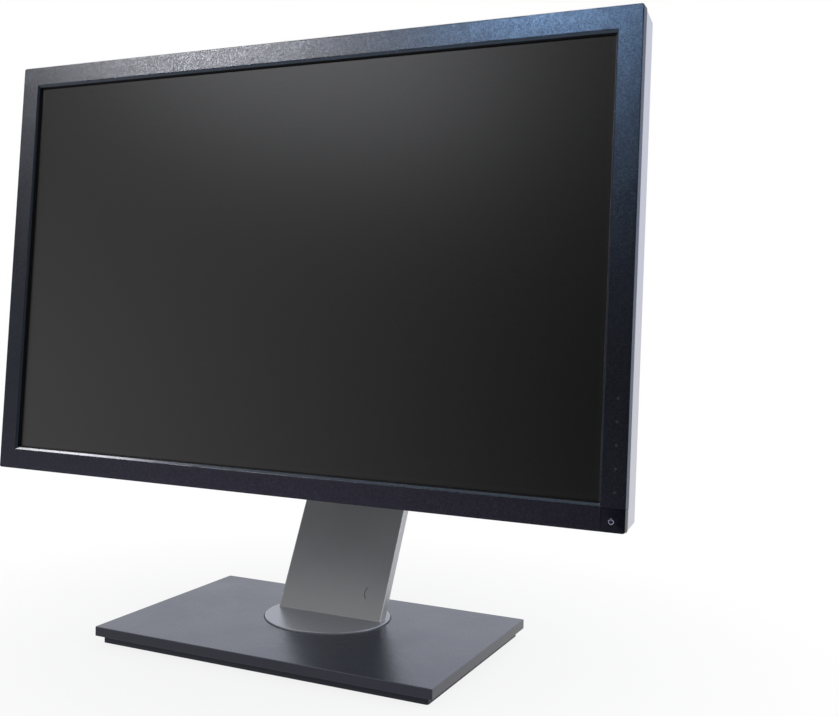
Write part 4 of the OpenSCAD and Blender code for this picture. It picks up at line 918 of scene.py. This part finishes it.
def makeDisc():
    r, low, top = base["discR"], base["discLow"], base["discTop"]
    rows = [(0.5, low), (r - 0.2, low), (r, low + 0.2), (r, top - 0.7), (r - 0.15, top - 0.3, 0.6),
            (r - 0.45, top - 0.08, 1), (r - 0.9, top, 0.4), (r - 1.6, top), (0.5, top)]
    piece = turned("turntableDisc", rows, discPlace, 144)
    carve(piece, block("spineRoom", *base["spineRoom"], standPlace))
    dressed(evened(piece), "turntable", "disc_silver", "swivel_disc")


def makeFeet():
    r, high = base["footR"], base["footH"]
    rows = [(0.5, 0.15), (r - 3.5, 0.15), (r - 3, 0), (r - 0.8, 0), (r - 0.2, 0.25, 1), (r, 0.8), (r, high),
            (0.5, high)]
    for n, (x, y) in enumerate(base["feet"]):
        pad = turned("pad", rows, moved(standPlace, x, y, 0), 48)
        dressed(pad, "base", "foot_rubber", *(["rubber_feet"] if n == 0 else []))
        pad.name = "rubberFoot%d" % n


makeBaseTop()
makeDisc()
makeFeet()

knob = dict(r=12, low=1.5, high=4.5, ribs=24, slotW=14, slotT=1.8, slotD=1.3, stemR=4, top=12.1)


def makeThumbScrew():
    r, low, high, stem, top = knob["r"], knob["low"], knob["high"], knob["stemR"], knob["top"]
    body = turned("thumbScrew", [
        (0.5, low), (r - 1.6, low), (r - 1.0, low + 0.3, 1), (r - 0.7, low + 0.8), (r - 0.7, high),
        (stem, high), (stem, top), (0.5, top)], discPlace, 72)
    half, thick = knob["slotW"] / 2, knob["slotT"] / 2
    carve(body, block("groove", (-half, -thick, low - 1), (half, thick, low + knob["slotD"]), discPlace))
    dressed(evened(body), "turntable", "parts_black", "base_thumbscrew")
    rib = turned("rib", [(0.55, low + 0.8), (0.7, low + 1.1), (0.7, high - 0.1), (0.5, high)], plain, 10)
    ribs = repeated("thumbRibs", rib, "circle", discPlace, count=knob["ribs"], radius=r - 0.75)
    dressed(ribs, "turntable", "parts_black")


makeThumbScrew()
print("base made")


hinge = dict(pinR=4, pinX=43.3, headR=7, headT=3, springIn=30.3, springLen=11, springGap=0.1, wire=1.0,
             turns=5.0, coilR=5.4)
acrossTurn = Matrix.Rotation(math.radians(90), 4, "Y")
hingePlace = Matrix.Translation(hingePoint) @ Matrix.Scale(mm, 4) @ acrossTurn


def makeTiltPin():
    x, r, hr, t = hinge["pinX"], hinge["pinR"], hinge["headR"], hinge["headT"] / 2
    half = [(0.6, x + t), (hr - 1.2, x + t), (hr - 0.4, x + t - 0.3, 1), (hr, x + t - 0.9), (hr, x - t + 0.5),
            (hr - 0.4, x - t), (r, x - t)]
    rows = half + [(a, -b, *rub) for a, b, *rub in reversed(half)]
    dressed(evened(turned("tiltPin", rows, hingePlace, 48)), "head", "pin_steel", "tilt_pin")


def makeTiltSprings():
    wire, gap = hinge["wire"], hinge["springGap"]
    for side, name in ((-1, "tiltSpringLeft"), (1, "tiltSpringRight")):
        seed = block("seed", (-1, -1, -1), (1, 1, 1), plain)
        place = moved(hingePlace @ Matrix.Scale(side, 4, (0, 0, 1)), 0, 0, hinge["springIn"] + wire + gap)
        wound = repeated(name, seed, "coil", place, turns=hinge["turns"], radius=hinge["coilR"],
                         length=hinge["springLen"] - 2 * (wire + gap), wireRadius=wire)
        dressed(wound, "head", "spring_steel", *(["tilt_springs"] if side < 0 else []))


def makePivot():
    parts = [
        ("pivotDisc", "bracket_black", "pivot_disc", 80.7, 96, True,
         [(7.9, 0), (27.4, 0), (28, 0.5, 1), (28, 2.5, 1), (27.4, 3), (7.9, 3)]),
        ("waveWasher", "spring_steel", "pivot_washer", 83.7, 96, True,
         [(8.1, 0), (25.6, 0), (26, 0.3, 1), (26, 0.8, 1), (25.6, 1), (8.1, 1)]),
        ("pivotRivet", "pin_steel", "pivot_rivet", 80.7, 64, False,
         [(1, 0), (8, 0), (8, 7), (12, 7), (12, 7.9, 0.5), (11.2, 8.7, 1), (9.5, 9), (5, 9), (4.2, 8.6),
          (1, 8.4)]),
    ]
    for name, slot, node, depth, sides, closed, rows in parts:
        piece = turned(name, rows, toBack(headPlace, 0, depth, 0), sides, closed)
        dressed(evened(piece), "head", slot, node)


makeTiltPin()
makeTiltSprings()
makePivot()


button = dict(halfW=7, low=-77.5, top=-68.5, front=70, back=82.8, ramp=6, ribs=4, ribPitch=1.8,
              ribHalf=(5, 0.5, 0.35))


def makeReleaseButton():
    back, front, low, top = button["back"], button["front"], button["low"], button["top"]
    ramp, pitch = button["ramp"], button["ribPitch"]
    outline = [(back, top), (back, low), (front + ramp, low), (front, low + ramp), (front, top)]
    points = [(x, y, z) for x in (-button["halfW"], button["halfW"]) for y, z in outline]
    piece = meshObject("releaseButton", points, joined(2, len(outline)), headPlace)
    groove = block("groove", [-s for s in button["ribHalf"]], button["ribHalf"], plain)
    cut = gridOf("grooves", groove, moved(headPlace, 0, back, low + pitch), 1, button["ribs"], stepZ=pitch)
    dressed(bevelled(carve(piece, cut), 0.4, 3), "release_button", "button_grey", "release_button")


makeReleaseButton()

screw = dict(headR=3.4, headD=1.1, shankR=1.5, shankLen=9.0, crossW=0.9, crossL=3.6, crossD=0.7)


# Pan-head screw with a cross recess, its head towards +z
def screwShape():
    r, d, shank, long = screw["headR"], screw["headD"], screw["shankR"], screw["shankLen"]
    body = turned("screw", [
        (0.4, -long), (shank * 0.8, -long), (shank, -long + 0.5), (shank, 0), (r, 0), (r, d * 0.4, 0.6),
        (r * 0.9, d * 0.8, 1), (r * 0.6, d), (0.4, d)], plain, 32)
    half, wide, deep = screw["crossL"] / 2, screw["crossW"] / 2, d - screw["crossD"]
    for x, y in ((half, wide), (wide, half)):
        carve(body, block("cross", (-x, -y, deep), (x, y, d + 1), plain))
    return body


def makeCoverScrews():
    x, z = cover["screwX"], cover["screwZ"]
    screws = gridOf("coverScrews", screwShape(), toBack(headPlace, -x, cover["screwD"], -z), 2, 2,
                    stepX=2 * x, stepY=-2 * z, stepZ=0)
    dressed(screws, "head", "screw_steel", "cover_screws")


makeCoverScrews()

inlet = dict(x=118, y=40.6, low=-85, tall=22, w=28, d=20, wall=1.8, deep=15, pins=((-1, -2), (0, 3), (1, -2)),
             pinLow=(-1, -2, 6), pinHigh=(1, 2, 15.2))


def makeMainsInlet():
    x, y, z, w, d, t = inlet["x"], inlet["y"], inlet["low"], inlet["w"] / 2, inlet["d"], inlet["wall"]
    body = block("mainsInlet", (x - w, y, z), (x + w, y + d, z + inlet["tall"]), headPlace)
    low, high = (x - w + t, y + t, z - 1), (x + w - t, y + d - t, z + inlet["deep"])
    carve(body, block("hollow", low, high, headPlace))
    dressed(bevelled(body, 0.5), "head", "socket_black", "mains_inlet")
    points, faces = [], []
    for i, depth in inlet["pins"]:
        spot = Vector((x + i * w / 2, y + d / 2 + depth, z))
        addBox(points, faces, spot + Vector(inlet["pinLow"]), spot + Vector(inlet["pinHigh"]))
    pins = bevelled(meshObject("mainsPins", points, faces, headPlace), 0.3)
    dressed(pins, "head", "socket_metal")


makeMainsInlet()

contact = dict(pitch=1.6, margin=8, half=(0.35, 0.06), long=9, low=-84.6, deepFrom=10, thick=1.5, thin=0.8,
               lap=0.02)


# Rows of contacts on each socket's tongue
def makeContacts():
    pitch, (x, y) = contact["pitch"], contact["half"]
    for n, (at, wide, deep) in enumerate(sockets["video"] + sockets["data"][1:]):
        count = int((wide - contact["margin"]) / pitch)
        thick = contact["thick"] if deep > contact["deepFrom"] else contact["thin"]
        start = moved(headPlace, at - (count - 1) * pitch / 2,
                      sockets["front"] + deep / 2 - thick - contact["lap"], contact["low"])
        shape = block("contact", (-x, -y, 0), (x, y, contact["long"]), plain)
        dressed(gridOf("contacts%d" % n, shape, start, count, stepX=pitch), "head", "washer_brass")


makeContacts()
print("back details made")


# The rest of the frame's parts keep their shape and take their finish
for entry in frame["record"]["subparts"]:
    node = frame["nodes"][entry["node"]]
    if not node.hide_render:
        node.data.materials.clear()
        node.data.materials.append(finishes[entry["material_slot"]])
        shaded(node.data, 30)


# 1 for camera, glossy and transmission rays
def seenRays(tree):
    path = added(tree, "ShaderNodeLightPath").outputs
    total = sums(tree, "MAXIMUM", path["Is Camera Ray"], path["Is Glossy Ray"])
    return sums(tree, "MAXIMUM", total, path["Is Transmission Ray"])


stage = dict(half=12, front=-0.6, z=-0.0002, color=(0.93, 0.93, 0.935), rough=0.7, gloss=0.1,
             fade=(0.15, 0.45, 0.85, 1))


# A pale floor that catches shadows near the object and turns plain white away from it
def makeFloor():
    half, front, z = stage["half"], stage["front"], stage["z"]
    points = [(-half, front, z), (half, front, z), (half, half, z), (-half, half, z)]
    floor = meshObject("floor", points, [(0, 1, 2, 3)], plain)
    if floor.data.polygons[0].normal.z < 0:
        floor.data.flip_normals()
    coat, tree, shader = newFinish("paleFloor")
    fill(tree, shader, {"Base Color": (*stage["color"], 1), "Roughness": stage["rough"],
                        "Specular IOR Level": stage["gloss"]})
    glow = added(tree, "ShaderNodeEmission", {"Color": (1, 1, 1, 1), "Strength": 1})
    reach = added(tree, "ShaderNodeVectorMath", {0: where(tree)}, operation="LENGTH").outputs["Value"]
    white = times(tree, ranged(tree, reach, *stage["fade"]), seenRays(tree))
    mix = added(tree, "ShaderNodeMixShader", {0: white, 1: shader.outputs[0], 2: glow.outputs[0]})
    out = [n for n in tree.nodes if n.type == "OUTPUT_MATERIAL"][0]
    tree.links.new(mix.outputs[0], out.inputs["Surface"])
    floor.data.materials.append(coat)
    return floor


room = dict(diffuse=0.5, tone=(0.95, 0.97, 1.0), left=(-0.27, -0.66, 0.02, 1), leftUp=(0.05, 0.3, 1, 0.3),
            over=(0.3, 0.72, 0, 1), right=(0.4, 0.9, 0.02, 0.4), behind=(-0.1, 0.3, 0, 1), near=(1, 1, 1),
            far=(0.90, 0.92, 1.0))


# The room that gloss sees: white behind the object and to the left, brighter overhead, dim at the camera
def roomShade(tree):
    axes = axesOf(tree, added(tree, "ShaderNodeTexCoord").outputs["Generated"])
    left, leftUp, right, over, behind = [
        ranged(tree, axes[axis], *room[side]) for axis, side in
        (("X", "left"), ("Z", "leftUp"), ("X", "right"), ("Z", "over"), ("Y", "behind"))]
    sides = sums(tree, "MAXIMUM", sums(tree, "MAXIMUM", times(tree, left, leftUp), over), right)
    return sums(tree, "MAXIMUM", sides, behind), blended(tree, behind, room["near"], room["far"])


# Even light for the matt surfaces, the room for gloss, and plain white for the camera
def makeWorld():
    world = bpy.data.worlds.new("studio")
    world.use_nodes = True
    tree = world.node_tree
    tree.nodes.clear()
    shade, tone = roomShade(tree)
    lights = ((*room["tone"], 1), room["diffuse"]), (tone, shade), ((1, 1, 1, 1), 1.0)
    soft, gloss, white = [
        added(tree, "ShaderNodeBackground", {"Color": color, "Strength": strength}).outputs[0]
        for color, strength in lights]
    lit = added(tree, "ShaderNodeMixShader", {0: seenRays(tree), 1: soft, 2: gloss}).outputs[0]
    camera = added(tree, "ShaderNodeLightPath").outputs["Is Camera Ray"]
    seen = added(tree, "ShaderNodeMixShader", {0: camera, 1: lit, 2: white}).outputs[0]
    added(tree, "ShaderNodeOutputWorld", {"Surface": seen})
    bpy.context.scene.world = world


# Light linking: pieces that a box leaves out, or the only ones it reaches
def linked(name, pieces, state):
    group = bpy.data.collections.new(name)
    for piece in pieces:
        group.objects.link(piece)
    for entry in group.collection_objects:
        entry.light_linking.link_state = state
    return group


def softbox(name, at, to, size, power, color, group, spread):
    lamp = bpy.data.lights.new(name, "AREA")
    lamp.shape, lamp.size, lamp.size_y = "RECTANGLE", size[0], size[1]
    lamp.energy, lamp.color, lamp.spread = power, color, math.radians(spread)
    thing = placed(name, lamp)
    thing.location = at
    thing.rotation_euler = (Vector(to) - Vector(at)).to_track_quat("-Z", "Y").to_euler()
    thing.light_linking.receiver_collection = group


def named(*names):
    return [bpy.data.objects[name] for name in names]


floor = makeFloor()
glass = frame["nodes"]["lcd_glass"]
stand = named("neckFront", "turntableDisc", "baseTop")
offFront = linked("offFront", [*stand, glass, floor], "EXCLUDE")
onGlass = linked("onGlass", [glass], "INCLUDE")
offSide = linked("offSide", named("turntableDisc"), "EXCLUDE")
onFace = linked("onFace", named("bezel", "powerKey"), "INCLUDE")
# Each row: name, place, aim, size, power, colour, linked pieces and spread
boxes = [
    ("leftBox", (-1.48, -1.84, 1.60), (-0.13, -0.055, 0.51), (0.5, 0.7), 3.5, (1.0, 0.86, 0.72),
     offFront, 30),
    ("coolBox", (-0.47, -1.95, 1.55), (0.2, -0.055, 0.58), (0.25, 0.25), 0.285, (0.56, 0.79, 1.0),
     offFront, 12),
    ("glassBox", (-1.1, -1.95, 1.38), (0.0, -0.06, 0.46), (0.95, 0.5), 5.6, (0.95, 0.96, 1.0),
     onGlass, 180),
    ("sideBox", (-1.52, -0.47, 1.63), (-0.2, -0.08, 0.15), (0.5, 0.32), 0.46, (1.0, 0.87, 0.84),
     offFront, 40),
    ("lowBox", (-1.0, -1.85, -0.12), (0, -0.08, 0.145), (1.8, 0.25), 1.2, (1.0, 0.6, 0.8), onFace, 90),
    ("rightBox", (2.3, 0.4, 1.1), (0, 0, 0.3), (0.8, 1.0), 2.0, (0.88, 0.93, 1.0), offSide, 60),
]

view = dict(at=(0.45610, -0.82947, 0.28678), lens=48.165, shift=(0.0849, -0.0436), film=36, clip=(0.01, 60),
            right=(0.88819471, 0.45918869, 0.01599708), up=(-0.02189677, 0.0075259, 0.99973191),
            back=(0.4589452, -0.88830688, 0.01673922))


def makeCamera():
    lens = bpy.data.cameras.new("camera")
    lens.sensor_width, lens.lens = view["film"], view["lens"]
    lens.shift_x, lens.shift_y = view["shift"]
    lens.clip_start, lens.clip_end = view["clip"]
    thing = placed("camera", lens)
    axes = Matrix((view["right"], view["up"], view["back"])).transposed()
    thing.matrix_world = Matrix.Translation(view["at"]) @ axes.to_4x4()
    bpy.context.scene.camera = thing


makeWorld()
for box in boxes:
    softbox(*box)
makeCamera()
bpy.context.scene.view_settings.view_transform = "Standard"
print("stage, light and camera made")
